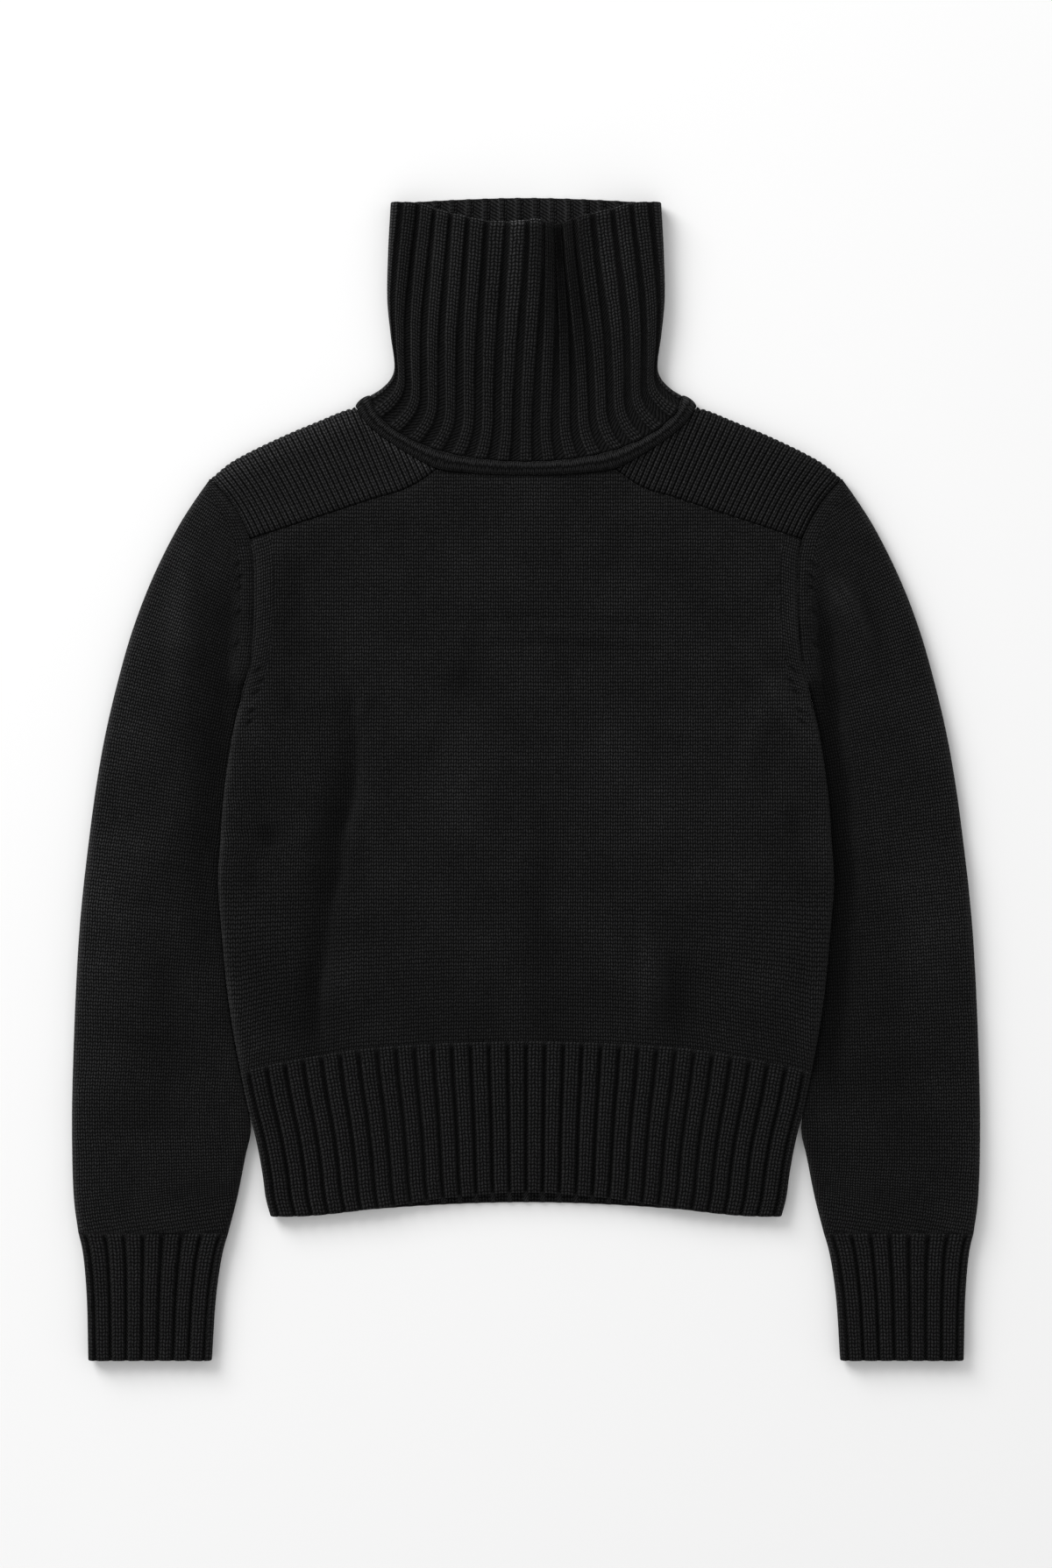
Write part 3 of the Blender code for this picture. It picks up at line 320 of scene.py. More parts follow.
def spline_points(a, b, c, d, t):
    """Catmull-Rom with knots spaced by the root of their distance."""
    steps = [max(float(np.linalg.norm(end - start)), 1e-6) ** 0.5 for start, end in ((a, b), (b, c), (c, d))]
    k0, k1, k2, k3 = np.concatenate(([0.0], np.cumsum(steps)))
    k = (k1 + (k2 - k1) * t)[:, None]
    a1 = (k1 - k) / (k1 - k0) * a + (k - k0) / (k1 - k0) * b
    a2 = (k2 - k) / (k2 - k1) * b + (k - k1) / (k2 - k1) * c
    a3 = (k3 - k) / (k3 - k2) * c + (k - k2) / (k3 - k2) * d
    b1 = (k2 - k) / (k2 - k0) * a1 + (k - k0) / (k2 - k0) * a2
    b2 = (k3 - k) / (k3 - k1) * a2 + (k - k1) / (k3 - k1) * a3
    return (k2 - k) / (k2 - k1) * b1 + (k - k1) / (k2 - k1) * b2


def from_points(points):
    path = Path.__new__(Path)
    path.set_points(points)
    return path


def joined(*paths):
    return from_points(np.vstack([paths[0].points] + [path.points[1:] for path in paths[1:]]))


def reversed_path(path):
    return from_points(path.points[::-1])


def mirrored(path):
    return from_points(path.points * np.array((-1.0, 1.0)))


def part_of(path, start, end, steps=120):
    return from_points(path.at(np.linspace(start, end, steps + 1)))


def whole(rows):
    """A right-hand half that starts on the middle line, with its mirror image before it."""
    return tuple((-x, y) for x, y in reversed(rows)) + tuple(rows[1:])


def coons(bottom, top, left, right):
    """The plan patch between four edges: bottom and top run left to right, the sides upwards."""
    low_left, low_right = bottom.at(0.0), bottom.at(1.0)
    high_left, high_right = top.at(0.0), top.at(1.0)

    def place(u, v):
        across = (1 - v)[..., None] * bottom.at(u) + v[..., None] * top.at(u)
        along = (1 - u)[..., None] * left.at(v) + u[..., None] * right.at(v)
        low = (1 - u)[..., None] * low_left + u[..., None] * low_right
        high = (1 - u)[..., None] * high_left + u[..., None] * high_right
        return across + along - (1 - v)[..., None] * low - v[..., None] * high

    return place


def smooth_step(value, low, high):
    share = np.clip((value - low) / (high - low), 0.0, 1.0)
    return share * share * (3 - 2 * share)


def nearness(distance, reach):
    return np.exp(-(distance / reach) ** 2)


# ---------------------------------------------------------------- folds
def relief(folds, x, y):
    """Height of all folds at the points x, y."""
    height = np.zeros(np.broadcast(x, y).shape)
    for line, left, right, depth in folds:
        away, side, share = off_line(np.array(line, float), x, y)
        width = np.where(side > 0, left, right)
        height += depth * nearness(away, width) * (0.2 + 0.8 * np.sin(np.pi * share) ** 0.6)
    return height


def off_line(line, x, y):
    """Distance from a broken line, the side of it (left is positive) and the share along it."""
    spans = np.linalg.norm(np.diff(line, axis=0), axis=1)
    starts = np.concatenate(([0.0], np.cumsum(spans)))
    best = np.full(np.broadcast(x, y).shape, 1e9)
    side = np.zeros_like(best)
    share = np.zeros_like(best)
    for (x0, y0), (x1, y1), span, start in zip(line[:-1], line[1:], spans, starts):
        run_x, run_y = (x1 - x0) / span, (y1 - y0) / span
        along = np.clip((x - x0) * run_x + (y - y0) * run_y, 0.0, span)
        dx = x - x0 - along * run_x
        dy = y - y0 - along * run_y
        away = np.hypot(dx, dy)
        closer = away < best
        best = np.where(closer, away, best)
        side = np.where(closer, run_x * dy - run_y * dx, side)
        share = np.where(closer, (start + along) / starts[-1], share)
    return best, side, share


def unevenness(x, y):
    height = 0.0
    for wave, degrees, size in UNEVENNESS:
        turn = math.radians(degrees)
        phase = (x * math.cos(turn) + y * math.sin(turn)) / wave * 2 * math.pi
        bend = 1.7 * np.sin((x * math.sin(turn) - y * math.cos(turn)) / (wave * 1.9) * 2 * math.pi + degrees)
        height = height + size * np.sin(phase + bend)
    return height


# ---------------------------------------------------------------- layers
def across_stations(count, width, fold):
    """Places spread evenly over a layer and round both folded edges: their zone, share and place."""
    flat_half = width / 2 - fold
    reach = flat_half + fold * math.pi / 2
    places = np.linspace(-reach, reach, count)
    zone = np.where(np.abs(places) <= flat_half, 0.0, np.sign(places))
    over_flat = (places + flat_half) / (2 * flat_half)
    over_fold = (np.abs(places) - flat_half) / (reach - flat_half)
    return zone, np.where(zone == 0, over_flat, over_fold), places


class Layer:
    """One layer of a flattened tube: its plan, its folded edges and its height."""

    def __init__(self, place, middle, top=None, fold=PLAIN_FOLD, wrap=(1.0, 1.0)):
        self.place = place              # plan points from (share across, share along)
        self.middle = as_rule(middle)   # height at which a folded edge is upright
        self.top = top                  # height from (v, x, y, nearness to each fold); None underneath
        self.fold = as_rule(fold)
        self.wrap = as_rule(wrap)

    def grid(self, stations, v, sunk):
        """Points of the rows v at the stations, sunk below the layer's face."""
        zone, share = stations[:2]
        v = np.asarray(v, float)[:, None]
        width = across_length(self.place, v)
        fold_left, fold_right = as_pair(self.fold(v))
        wrap_left, wrap_right = as_pair(self.wrap(v))
        right = zone > 0
        fold = np.where(right, fold_right, fold_left)
        wrap = np.where(zone == 0, 0.0, np.where(right, wrap_right, wrap_left))
        angle = wrap * share * math.pi / 2
        inward = fold * (1 - (1 - wrap) * share - wrap * np.sin(angle))
        flat = fold_left + share * (width - fold_left - fold_right)
        across = self.choose(zone, flat, inward, width)
        sunk_across = self.choose(zone, flat, inward + sunk * np.sin(angle), width)
        x, y = self.plan(across / width, v)
        level = self.level(v, x, y, across, width, wrap_left, wrap_right)
        x, y = self.plan(sunk_across / width, v)
        toward = -1.0 if self.top else 1.0
        z = level + (self.middle(v) - level) * (1 - np.cos(angle)) + toward * sunk * np.cos(angle)
        return np.stack((x, y, z), -1)

    def choose(self, zone, flat, inward, width):
        return np.where(zone == 0, flat, np.where(zone > 0, width - inward, inward))

    def plan(self, u, v):
        points = self.place(u, np.broadcast_to(v, u.shape))
        return points[..., 0], points[..., 1]

    def level(self, v, x, y, across, width, wrap_left, wrap_right):
        if self.top is None:
            return np.zeros(x.shape)
        lifts = (wrap_left * nearness(across, EDGE_ROLL),
                 wrap_right * nearness(width - across, EDGE_ROLL))
        seam = np.maximum((1 - wrap_left) * nearness(across, SEAM_REACH),
                          (1 - wrap_right) * nearness(width - across, SEAM_REACH))
        return self.top(v, x, y, lifts) - SEAM_DIP * seam


def as_rule(value):
    return value if callable(value) else lambda v: value


def as_pair(value):
    return value if isinstance(value, tuple) else (value, value)


def across_length(place, v, steps=24):
    u = np.broadcast_to(np.linspace(0.0, 1.0, steps + 1), (len(v), steps + 1))
    points = place(u, np.broadcast_to(v, u.shape))
    return np.linalg.norm(np.diff(points, axis=1), axis=-1).sum(axis=1)[:, None]


def row_shares(count, length, start_rim=0.0, end_rim=0.0):
    """Shares along a piece, and how far each row has gone round a rolled rim (0 outside, 1 inside)."""
    turns = np.radians((30.0, 60.0, 90.0, 120.0, 150.0))
    plain = np.linspace(start_rim / length, 1 - end_rim / length, count)
    shares, mixes = [plain], [np.zeros(count)]
    if start_rim:
        shares.insert(0, (start_rim / length * (1 - np.sin(turns)))[::-1])
        mixes.insert(0, ((1 - np.cos(turns)) / 2)[::-1])
    if end_rim:
        shares.append(1 - end_rim / length * (1 - np.sin(turns)))
        mixes.append((1 - np.cos(turns)) / 2)
    return np.concatenate(shares), np.concatenate(mixes)


# ---------------------------------------------------------------- ribs
def rib_phase(places, grooves, reach):
    """Place counted in ribs, with a groove's centre at each whole number."""
    pitch = 2 * reach / (grooves + 0.5)
    return places / pitch + (grooves - 1) / 2


class Rib:
    """A ribbing: its grooves and their depth, their width along the piece and where they fade out."""

    def __init__(self, grooves, wall, depth, width, fade):
        self.grooves = grooves
        self.wall = wall
        self.depth = depth
        self.width = width      # half a groove's floor and half its mouth, for rows v
        self.fade = fade        # how much of the depth there is, for rows v

    def profile(self, phase, v):
        """How deep the surface lies, from 0 on a crest to 1 in the middle of a groove."""
        floor, mouth = self.width(v)
        centre = np.clip(np.round(phase), 0, self.grooves - 1)
        away = np.minimum(np.abs(phase - centre), 0.5)
        groove = 1 - smooth_step(away, floor, mouth)
        crown = 0.14 * (1 - np.clip((away - mouth) / (0.5 - mouth), 0.0, 1.0)) ** 2
        return np.clip(groove + crown, 0.0, 1.0) * self.fade(v)

    def foot(self, phase, v):
        """1 in the two corners where a groove's floor meets its sides, 0 away from them."""
        floor, mouth = self.width(v)
        away = np.abs(phase - np.clip(np.round(phase), 0, self.grooves - 1))
        return nearness(away - (0.7 * floor + 0.3 * mouth), 0.055) * self.fade(v)

    def columns(self, phase, v):
        """Stitch columns along the ribs: two on each crest, two in each groove."""
        floor, mouth = self.width(v)
        half = 0.5 - (floor + mouth) / 2
        crest = np.floor(phase) + 0.5
        off = phase - crest
        size = np.abs(off)
        outer = 1 + (size - half) / (0.5 - half)
        return 4 * crest + np.sign(off) * np.where(size < half, size / half, outer)


# ---------------------------------------------------------------- meshes
class Skin:
    """A grid of points with its stitch coordinates; rows from closed_from on end where they start.

    An edging is a second set of stitch coordinates and the faces that take them instead. The painted
    shading is 1 on plain cloth, less as painted shade in a hollow and more as a painted highlight on a ridge
    or edge.
    """

    def __init__(self, points, stitches, closed_from=None, edging=None, tone=None):
        self.points = points
        self.stitches = stitches
        self.closed_from = len(points) if closed_from is None else closed_from
        self.edging = edging or (stitches, np.zeros(points.shape[:2], bool))
        self.tone = np.ones(points.shape[:2]) if tone is None else tone

    def picked(self, rows, columns):
        closed = int(np.searchsorted(rows, self.closed_from))
        grid = np.ix_(rows, columns)
        return Skin(self.points[grid], self.stitches[grid], closed, tone=self.tone[grid])

    def indices(self, start):
        rows, columns = self.points.shape[:2]
        table = start + np.arange(rows * columns).reshape(rows, columns)
        table[self.closed_from:, -1] = table[self.closed_from:, 0]
        return table


def painted_fold_shading(height):
    """Painted shading in folds: painted shade in a hollow, painted highlight on a ridge."""
    return np.exp(FOLD_SHADE_RATE * np.clip(height, -11.0, 4.5))


def column_stitches(points, reference, start=0.0):
    """Stitch coordinates: columns counted sideways from one line of points, courses along it."""
    steps = np.linalg.norm(np.diff(points, axis=1), axis=-1)
    across = np.concatenate((np.zeros((len(points), 1)), np.cumsum(steps, axis=1)), axis=1)
    across = (across - across[:, reference:reference + 1]) / WALE
    along = np.linalg.norm(np.diff(points[:, reference], axis=0), axis=-1)
    courses = start + np.concatenate(([0.0], np.cumsum(along))) / COURSE
    return np.stack((across, np.broadcast_to(courses[:, None], across.shape)), -1)


def panel_stitches(points, reference):
    """Columns straight up a body panel, and level courses that bend with the hem's seam near it."""
    x, y = points[..., 0], points[..., 1]
    steps = np.hypot(np.diff(x, axis=1), np.diff(points[..., 2], axis=1))
    across = np.concatenate((np.zeros((len(points), 1)), np.cumsum(steps, axis=1)), axis=1)
    across = (across - across[:, reference:reference + 1]) / WALE
    drop = np.interp(np.abs(x), *zip(*HEM_SEAM)) - HEM_SEAM[0][1]
    courses = (y - drop * (1 - smooth_step(y, -215.0, -60.0))) / COURSE
    return np.stack((across, courses), -1)


def length_along(path, x, y, steps=80):
    """How far along a gently bent curve the points x, y lie, square to it."""
    shares = np.linspace(0.0, 1.0, steps + 1)
    knots = path.at(shares)
    ahead = np.gradient(knots, axis=0)
    ahead /= np.linalg.norm(ahead, axis=1)[:, None]
    past = np.stack([(x - px) * ax + (y - py) * ay for (px, py), (ax, ay) in zip(knots, ahead)])
    last = np.clip((past > 0).sum(axis=0) - 1, 0, steps - 1)[None]
    before = np.take_along_axis(past, last, 0)[0]
    after = np.take_along_axis(past, last + 1, 0)[0]
    return (last[0] + before / (before - after)) / steps * path.length


def edge_columns(stitches, rows, left=0, right=0):
    """An edging of a few whole columns that follow the left or right side over the given rows."""
    across = stitches[..., 0]
    from_left = across - across[:, :1]
    from_right = across[:, -1:] - across
    edged = np.where(from_left < from_right, from_left, -from_right)
    near = ((from_left < left) | (from_right < right)) & rows[:, None]
    return np.stack((edged, stitches[..., 1]), -1), near


def strip(lower, upper):
    """Triangles between two rows of corners that cover the same stretch with unlike counts."""
    faces = []
    low, high = 0, 0
    while low < len(lower) - 1 or high < len(upper) - 1:
        low_next = (low + 1) / (len(lower) - 1)
        high_next = (high + 1) / (len(upper) - 1)
        if high == len(upper) - 1 or (low < len(lower) - 1 and low_next <= high_next):
            faces.append((lower[low], lower[low + 1], upper[high]))
            low += 1
        else:
            faces.append((lower[low], upper[high + 1], upper[high]))
            high += 1
    return faces


def corners(skin, table, row, column):
    """One row or one column of a skin, as pairs of a vertex and its stitch coordinates."""
    return list(zip(table[row, column].tolist(), map(tuple, skin.stitches[row, column].tolist())))


class Knitting:
    """A mesh in the making: each vertex has its painted shading, and each face's corners their stitches."""

    def __init__(self, points, painted_shadings):
        self.bm = bmesh.new()
        self.uv = self.bm.loops.layers.uv.new("stitches")
        shade = self.bm.verts.layers.float.new("tone")
        self.vertices = [self.bm.verts.new(point) for point in (points * METRES).tolist()]
        for vertex, tone in zip(self.vertices, painted_shadings.tolist()):
            vertex[shade] = tone

    def add_face(self, rim):
        """One face from pairs of a vertex's number and its stitch coordinates."""
        face = self.bm.faces.new([self.vertices[index] for index, place in rim])
        for loop, (index, place) in zip(face.loops, rim):
            loop[self.uv].uv = place

    def add_grid(self, skin, table):
        choices = (skin.stitches.tolist(), skin.edging[0].tolist())
        edged = skin.edging[1].tolist()
        ids = table.tolist()
        for row in range(len(ids) - 1):
            for column in range(len(ids[0]) - 1):
                stitches = choices[edged[row][column]]
                cell = ((row, column), (row, column + 1), (row + 1, column + 1), (row + 1, column))
                self.add_face([(ids[i][j], stitches[i][j]) for i, j in cell])

    def finished(self, name):
        loose = [vertex for vertex in self.bm.verts if not vertex.link_faces]
        if loose:
            bmesh.ops.delete(self.bm, geom=loose, context="VERTS")
        bmesh.ops.recalc_face_normals(self.bm, faces=self.bm.faces)
        mesh = bpy.data.meshes.new(name)
        self.bm.to_mesh(mesh)
        self.bm.free()
        mesh.shade_smooth()
        piece = bpy.data.objects.new(name, mesh)
        bpy.context.scene.collection.objects.link(piece)
        return piece


def wall_mesh(name, outer, inner):
    """One closed body: the outer skin, the inner skin and the rims between them."""
    both = ((outer, outer.indices(0)), (inner, inner.indices(outer.points[..., 0].size)))
    knitting = Knitting(np.vstack([skin.points.reshape(-1, 3) for skin, table in both]),
                        np.concatenate([skin.tone.ravel() for skin, table in both]))
    for skin, table in both:
        knitting.add_grid(skin, table)
    rims = [[corners(skin, table, row, slice(None)) for skin, table in both] for row in (0, -1)]
    if outer.closed_from > 0:
        rims += [[corners(skin, table, slice(0, skin.closed_from + 1), column) for skin, table in both]
                 for column in (0, -1)]
    for lower, upper in rims:
        for triangle in strip(lower, upper):
            knitting.add_face(triangle)
    return knitting.finished(name)


def ring_of(top, under):
    """The top layer from right to left, then the lower one from left to right."""
    return np.concatenate((top[:, ::-1], under[:, 1:]), axis=1)


def flipped(skin, side):
    points = skin.points * np.array((side, 1.0, 1.0))
    return Skin(points, skin.stitches, skin.closed_from, skin.edging, skin.tone)


def thinned(count, step):
    """Every so many indices, with the last one always kept."""
    picks = list(range(0, count, step))
    if picks[-1] != count - 1:
        picks.append(count - 1)
    return np.array(picks)


# ---------------------------------------------------------------- shared edges
NECK_PATH = Path(whole(NECK_FRONT + NECK_EDGE[1:]))
NECK_CORNER = NECK_PATH.share_at(NECK_EDGE[0])
HEM_SEAM_PATH = Path(whole(HEM_SEAM))
YOKE_SEAM_PATH = Path(YOKE_SEAM)
YOKE_TOP_PATH = joined(part_of(NECK_PATH, NECK_CORNER, 1.0), Path(SHOULDER))
BODY_SIDE_PATH = Path(BODY_SIDE + ARMHOLE[1:])
SIDE_LENGTH = BODY_SIDE_PATH.length * BODY_SIDE_PATH.share_at(ARMHOLE[0])


def yoke_place(u, v):
    """The right-hand shoulder panel: ribs from the front seam to the neck and shoulder."""
    seam = YOKE_SEAM_PATH.at(u)
    fan_u, fan_top = zip(*RIB_FAN)
    top = YOKE_TOP_PATH.at(np.interp(u, fan_u, fan_top))
    bow = YOKE_ARM_BOW * u ** 3 * np.sin(math.pi * v)
    return seam + v[..., None] * (top - seam) + bow[..., None] * np.array((-0.83, 0.55))


def armhole_path():
    """From the tip of the shoulder down to the underarm."""
    down = 1 - np.linspace(0.0, 1.0, 25)
    upper = from_points(yoke_place(np.ones_like(down), down))
    return joined(upper, reversed_path(part_of(BODY_SIDE_PATH, SIDE_LENGTH / BODY_SIDE_PATH.length, 1.0)))


ARMHOLE_PATH = armhole_path()


# ---------------------------------------------------------------- body
def marks_at(marks, x, y):
    """Small slanting notches where stitches were taken in, the same on both sides."""
    out = np.abs(x)
    notch = np.zeros(x.shape)
    for mark_x, mark_y in marks:
        along = -0.75 * (out - mark_x) + 0.66 * (y - mark_y)
        across = 0.66 * (out - mark_x) + 0.75 * (y - mark_y)
        notch = np.maximum(notch, nearness(along, 3.8) * nearness(across, 1.8))
    return MARK_DEPTH * notch


def painted_mark_shading(marks, x, y):
    """Painted shading of the marks: painted shade in each notch, painted highlight on the stitch above it.
    """
    notch = marks_at(marks, x, y) / MARK_DEPTH
    above = marks_at(marks, x, y - 3.4) / MARK_DEPTH
    return (1 - 0.7 * notch) * (1 + 0.5 * above)


def pressed(height):
    """A top layer's height where it comes to lie on the layer under it."""
    return LOWEST_TOP + PRESS_SOFTNESS * np.logaddexp(0.0, (height - LOWEST_TOP) / PRESS_SOFTNESS)


def towards_rib(level, away, swell, swell_at):
    """Plain cloth's height near a ribbed edge: calmer, with a soft swell just before it."""
    calm = CALM_SHARE + (1 - CALM_SHARE) * smooth_step(away, 0.0, CALM_REACH)
    return HEM_TOP + (level - HEM_TOP) * calm + swell * nearness(away - swell_at, SWELL_REACH)


def front_height(v, x, y, lifts):
    level = BODY_TOP + EDGE_RISE * np.maximum(*lifts) + relief(FRONT_FOLDS, x, y) + unevenness(x, y)
    level = pressed(level) - marks_at(BODY_MARKS, x, y)
    level = towards_rib(level, v * BODY_SIDE_PATH.length, 0.8, 10.0)
    return level - SEAM_DIP * nearness((1 - v) * BODY_SIDE_PATH.length, SEAM_REACH)


def painted_edge_shading(points, left, right, reach=EDGE_HIGHLIGHT_REACH):
    """Painted highlight along a layer's two sides, or painted shade if negative, as along a seam."""
    from_left = np.linalg.norm(points - points[:, :1], axis=-1)
    from_right = np.linalg.norm(points - points[:, -1:], axis=-1)
    return 1 + left * nearness(from_left, reach) + right * nearness(from_right, reach)


def kept_back(place):
    """The same patch, drawn in by a hair at its two sides."""
    margin = TOUCH_GAP / MARGIN_WIDTH
    return lambda u, v: place(margin + u * (1 - 2 * margin), v)


def side_wrap(path):
    return lambda v: smooth_step(SIDE_LENGTH - v * path.length, 0.0, UNDERARM_TURN)


def panel_skins(layer, columns, rows, row_step, column_step):
    """A body panel's outer skin, and its inner skin with fewer points."""
    stations = across_stations(columns, BODY_WIDTH, PLAIN_FOLD)
    v = np.linspace(0.0, 1.0, rows)
    outer = layer.grid(stations, v, 0.0)
    stitches = panel_stitches(outer, columns // 2)
    inner = Skin(layer.grid(stations, v, PLAIN_WALL), stitches)
    return Skin(outer, stitches), inner.picked(thinned(rows, row_step), thinned(columns, column_step))


def front_painted_shading(points, v):
    """Painted shade in folds, seams and along the folds' outermost line, painted highlight along the folded
    sides, and painted shade low down and outwards.
    """
    x, y = points[..., 0], points[..., 1]
    tone = painted_fold_shading(relief(FRONT_FOLDS, x, y) + SHADED_UNEVENNESS * unevenness(x, y))
    tone *= painted_mark_shading(BODY_MARKS, x, y)
    sides = smooth_step(np.abs(x), 90.0, 170.0) * smooth_step(-y, -60.0, 20.0)
    tone *= 1 - PAINTED_LOW_SHADE * smooth_step(-y, -40.0, 140.0) - PAINTED_SIDE_SHADE * sides
    folded = side_wrap(BODY_SIDE_PATH)(v)[:, None]
    tone *= painted_edge_shading(points, 0.2 + 0.3 * folded, 0.25, 12.0)
    tone *= painted_edge_shading(points, -0.8 * folded, -0.4 * folded, 3.6)
    seam = -SEAM_SHADE * (1 - folded)
    tone *= painted_edge_shading(points, seam, seam, SEAM_LINE)
    return tone * (1 - SEAM_SHADE * nearness((1 - v) * BODY_SIDE_PATH.length, SEAM_LINE)[:, None])


def make_front():
    seam = YOKE_SEAM_PATH
    neck = part_of(NECK_PATH, 1 - NECK_CORNER, NECK_CORNER)
    top_edge = joined(reversed_path(mirrored(seam)), neck, seam)
    place = coons(HEM_SEAM_PATH, top_edge, mirrored(BODY_SIDE_PATH), BODY_SIDE_PATH)
    layer = Layer(kept_back(place), BODY_MIDDLE + MIDDLE_STEP, front_height, wrap=side_wrap(BODY_SIDE_PATH))
    outer, inner = panel_skins(layer, FRONT_COLUMNS, FRONT_ROWS, 6, 5)
    v = np.linspace(0.0, 1.0, FRONT_ROWS)
    by_sides = column_stitches(outer.points, FRONT_COLUMNS // 2)
    armhole = v * BODY_SIDE_PATH.length > SIDE_LENGTH
    outer.edging = edge_columns(by_sides, armhole, EDGE_WALES, EDGE_WALES)
    outer.tone = front_painted_shading(outer.points, v)
    return wall_mesh("front_panel", outer, inner)


def make_back():
    shoulder = inset_shoulder()
    corner = (ARMHOLE_PATH.length - (BODY_SIDE_PATH.length - SIDE_LENGTH)) / ARMHOLE_PATH.length
    arm_top = part_of(ARMHOLE_PATH, YOKE_REACH / ARMHOLE_PATH.length, corner)
    side = joined(BODY_SIDE_PATH, reversed_path(arm_top))
    neck = from_points(Path(whole(BAND_BACK)).points - np.array((0.0, 0.5)))
    ends = neck.share_at(BACK_NECK_END)
    top_edge = joined(reversed_path(mirrored(shoulder)), part_of(neck, 1 - ends, ends), shoulder)
    place = coons(HEM_SEAM_PATH, top_edge, mirrored(side), side)
    layer = Layer(kept_back(place), BODY_MIDDLE - MIDDLE_STEP, wrap=side_wrap(side))
    return wall_mesh("back_panel", *panel_skins(layer, BACK_COLUMNS, BACK_ROWS, 5, 4))


def inset_shoulder():
    """The back panel's edge along the shoulder, inside the turned-over shoulder panel."""
    path = Path(SHOULDER)
    points = [BACK_NECK_END]
    for share in np.linspace(0.08, 0.92, 8):
        ahead = path.at(share + 0.01) - path.at(share - 0.01)
        inward = np.array((ahead[1], -ahead[0])) / np.linalg.norm(ahead)
        points.append(tuple(path.at(share) + inward * YOKE_REACH))
    points.append(tuple(ARMHOLE_PATH.at(YOKE_REACH / ARMHOLE_PATH.length)))
    return Path(points)


# ---------------------------------------------------------------- ribbed edges
def rib_height(v, x, y, lifts):
    """Height of a ribbed top layer."""
    return HEM_TOP + EDGE_RISE * 0.5 * np.maximum(*lifts) + 0.7 * unevenness(x, y)


def rib_rise(away):
    """How far ribs have risen out of the plain cloth at a distance from its seam."""
    return smooth_step(away, -0.5, RIB_FADE)


def ribbed_skins(layer, stations, v, mix, rib):
    """Outer and inner skins of a ribbed layer; inside, ribs and grooves change places."""
    zone, share, places = stations
    phase = rib_phase(places, rib.grooves, abs(places[0]))
    rows, mix = v[:, None], mix[:, None]
    depth = rib.profile(phase, rows)
    outside = depth * rib.depth
    inside = rib.wall - rib.depth * (1 - depth)
    outer = layer.grid(stations, v, outside * (1 - mix) + inside * mix)
    plain = column_stitches(outer, len(places) // 2)
    uv = np.stack((np.broadcast_to(rib.columns(phase, rows), plain.shape[:2]), plain[..., 1]), -1)
    kept = mix[:, 0] == 0
    # Painted shading: painted shade in the grooves and in their corners, a painted highlight round the
    # rolled rim, and on the inside, lighter crests.
    shade = GROOVE_SHADE * (NARROW_SHADE - WIDE_LIGHT * rib.width(rows)[0])
    tone = 1.0 + 2 * mix * (1 - mix) - shade * depth * (1 - mix)
    tone = tone * (1 - FOOT_SHADE * rib.foot(phase, rows) * (1 - mix))
    tone = np.broadcast_to(tone, uv.shape[:2])
    inner_painted_shading = np.broadcast_to(1.0 + 0.8 * depth, uv.shape[:2])[kept]
    inner = layer.grid(stations, v, inside)[kept]
    return Skin(outer, uv, tone=tone), Skin(inner, uv[kept], tone=inner_painted_shading)


def steady_width(width):
    return lambda v: width


def make_hem(name, edge, middle, top, wall, groove, count):
    side = reversed_path(Path(HEM_SIDE))
    place = coons(Path(whole(edge)), HEM_SEAM_PATH, mirrored(side), side)
    stations = across_stations(count, HEM_WIDTH, RIB_FOLD)
    v, mix = row_shares(HEM_ROWS, side.length, start_rim=(wall - groove) / 2)
    rib = Rib(HEM_GROOVES, wall, groove, steady_width(EDGE_RIB), lambda v: rib_rise((1 - v) * side.length))
    outer, inner = ribbed_skins(Layer(place, middle, top, RIB_FOLD), stations, v, mix, rib)
    # Painted shade: the hem as a whole is painted a little darker.
    outer.tone = outer.tone * HEM_PAINTED_SHADE
    return wall_mesh(name, outer, inner.picked(thinned(len(inner.points), 4), np.arange(count)))


def make_cuff(name, side):
    outer_edge, inner_edge = Path(CUFF_OUTER), Path(CUFF_INNER)
    ends = [Path([edge[row] for edge in (CUFF_OUTER, CUFF_INNER)]) for row in (0, -1)]
    place = coons(ends[0], ends[1], outer_edge, inner_edge)
    upper = Layer(place, RIB_MIDDLE, rib_height, RIB_FOLD)
    under = Layer(place, RIB_MIDDLE, None, RIB_FOLD)
    v, mix = row_shares(CUFF_ROWS, outer_edge.length, end_rim=(RIB_WALL - RIB_GROOVE) / 2)
    ribbing = (CUFF_GROOVES, steady_width(EDGE_RIB), lambda v: rib_rise(v * outer_edge.length))
    stations = across_stations(CUFF_COLUMNS, CUFF_WIDTH, RIB_FOLD)
    return ribbed_tube(name, side, upper, under, stations, v, mix, ribbing)


def ribbed_tube(name, side, upper, under, stations, v, mix, ribbing, shade=None):
    """A ribbed top layer and the ribbed layer under it, joined round both folds.

    A ribbing is its count of grooves, their width along the piece and where they fade out.
    """
    grooves, width, fade = ribbing
    top = ribbed_skins(upper, stations, v, mix, Rib(grooves, RIB_WALL, RIB_GROOVE, width, fade))
    if shade:
        top[0].tone = top[0].tone * shade(top[0].points, v)
    low = ribbed_skins(under, stations, v, mix, Rib(grooves, UNDER_RIB_WALL, UNDER_GROOVE, width, fade))
    outer, inner = [flipped(ring_skin(above, below), side) for above, below in zip(top, low)]
    columns = np.arange(inner.points.shape[1])
    return wall_mesh(name, outer, inner.picked(thinned(len(inner.points), 4), columns))


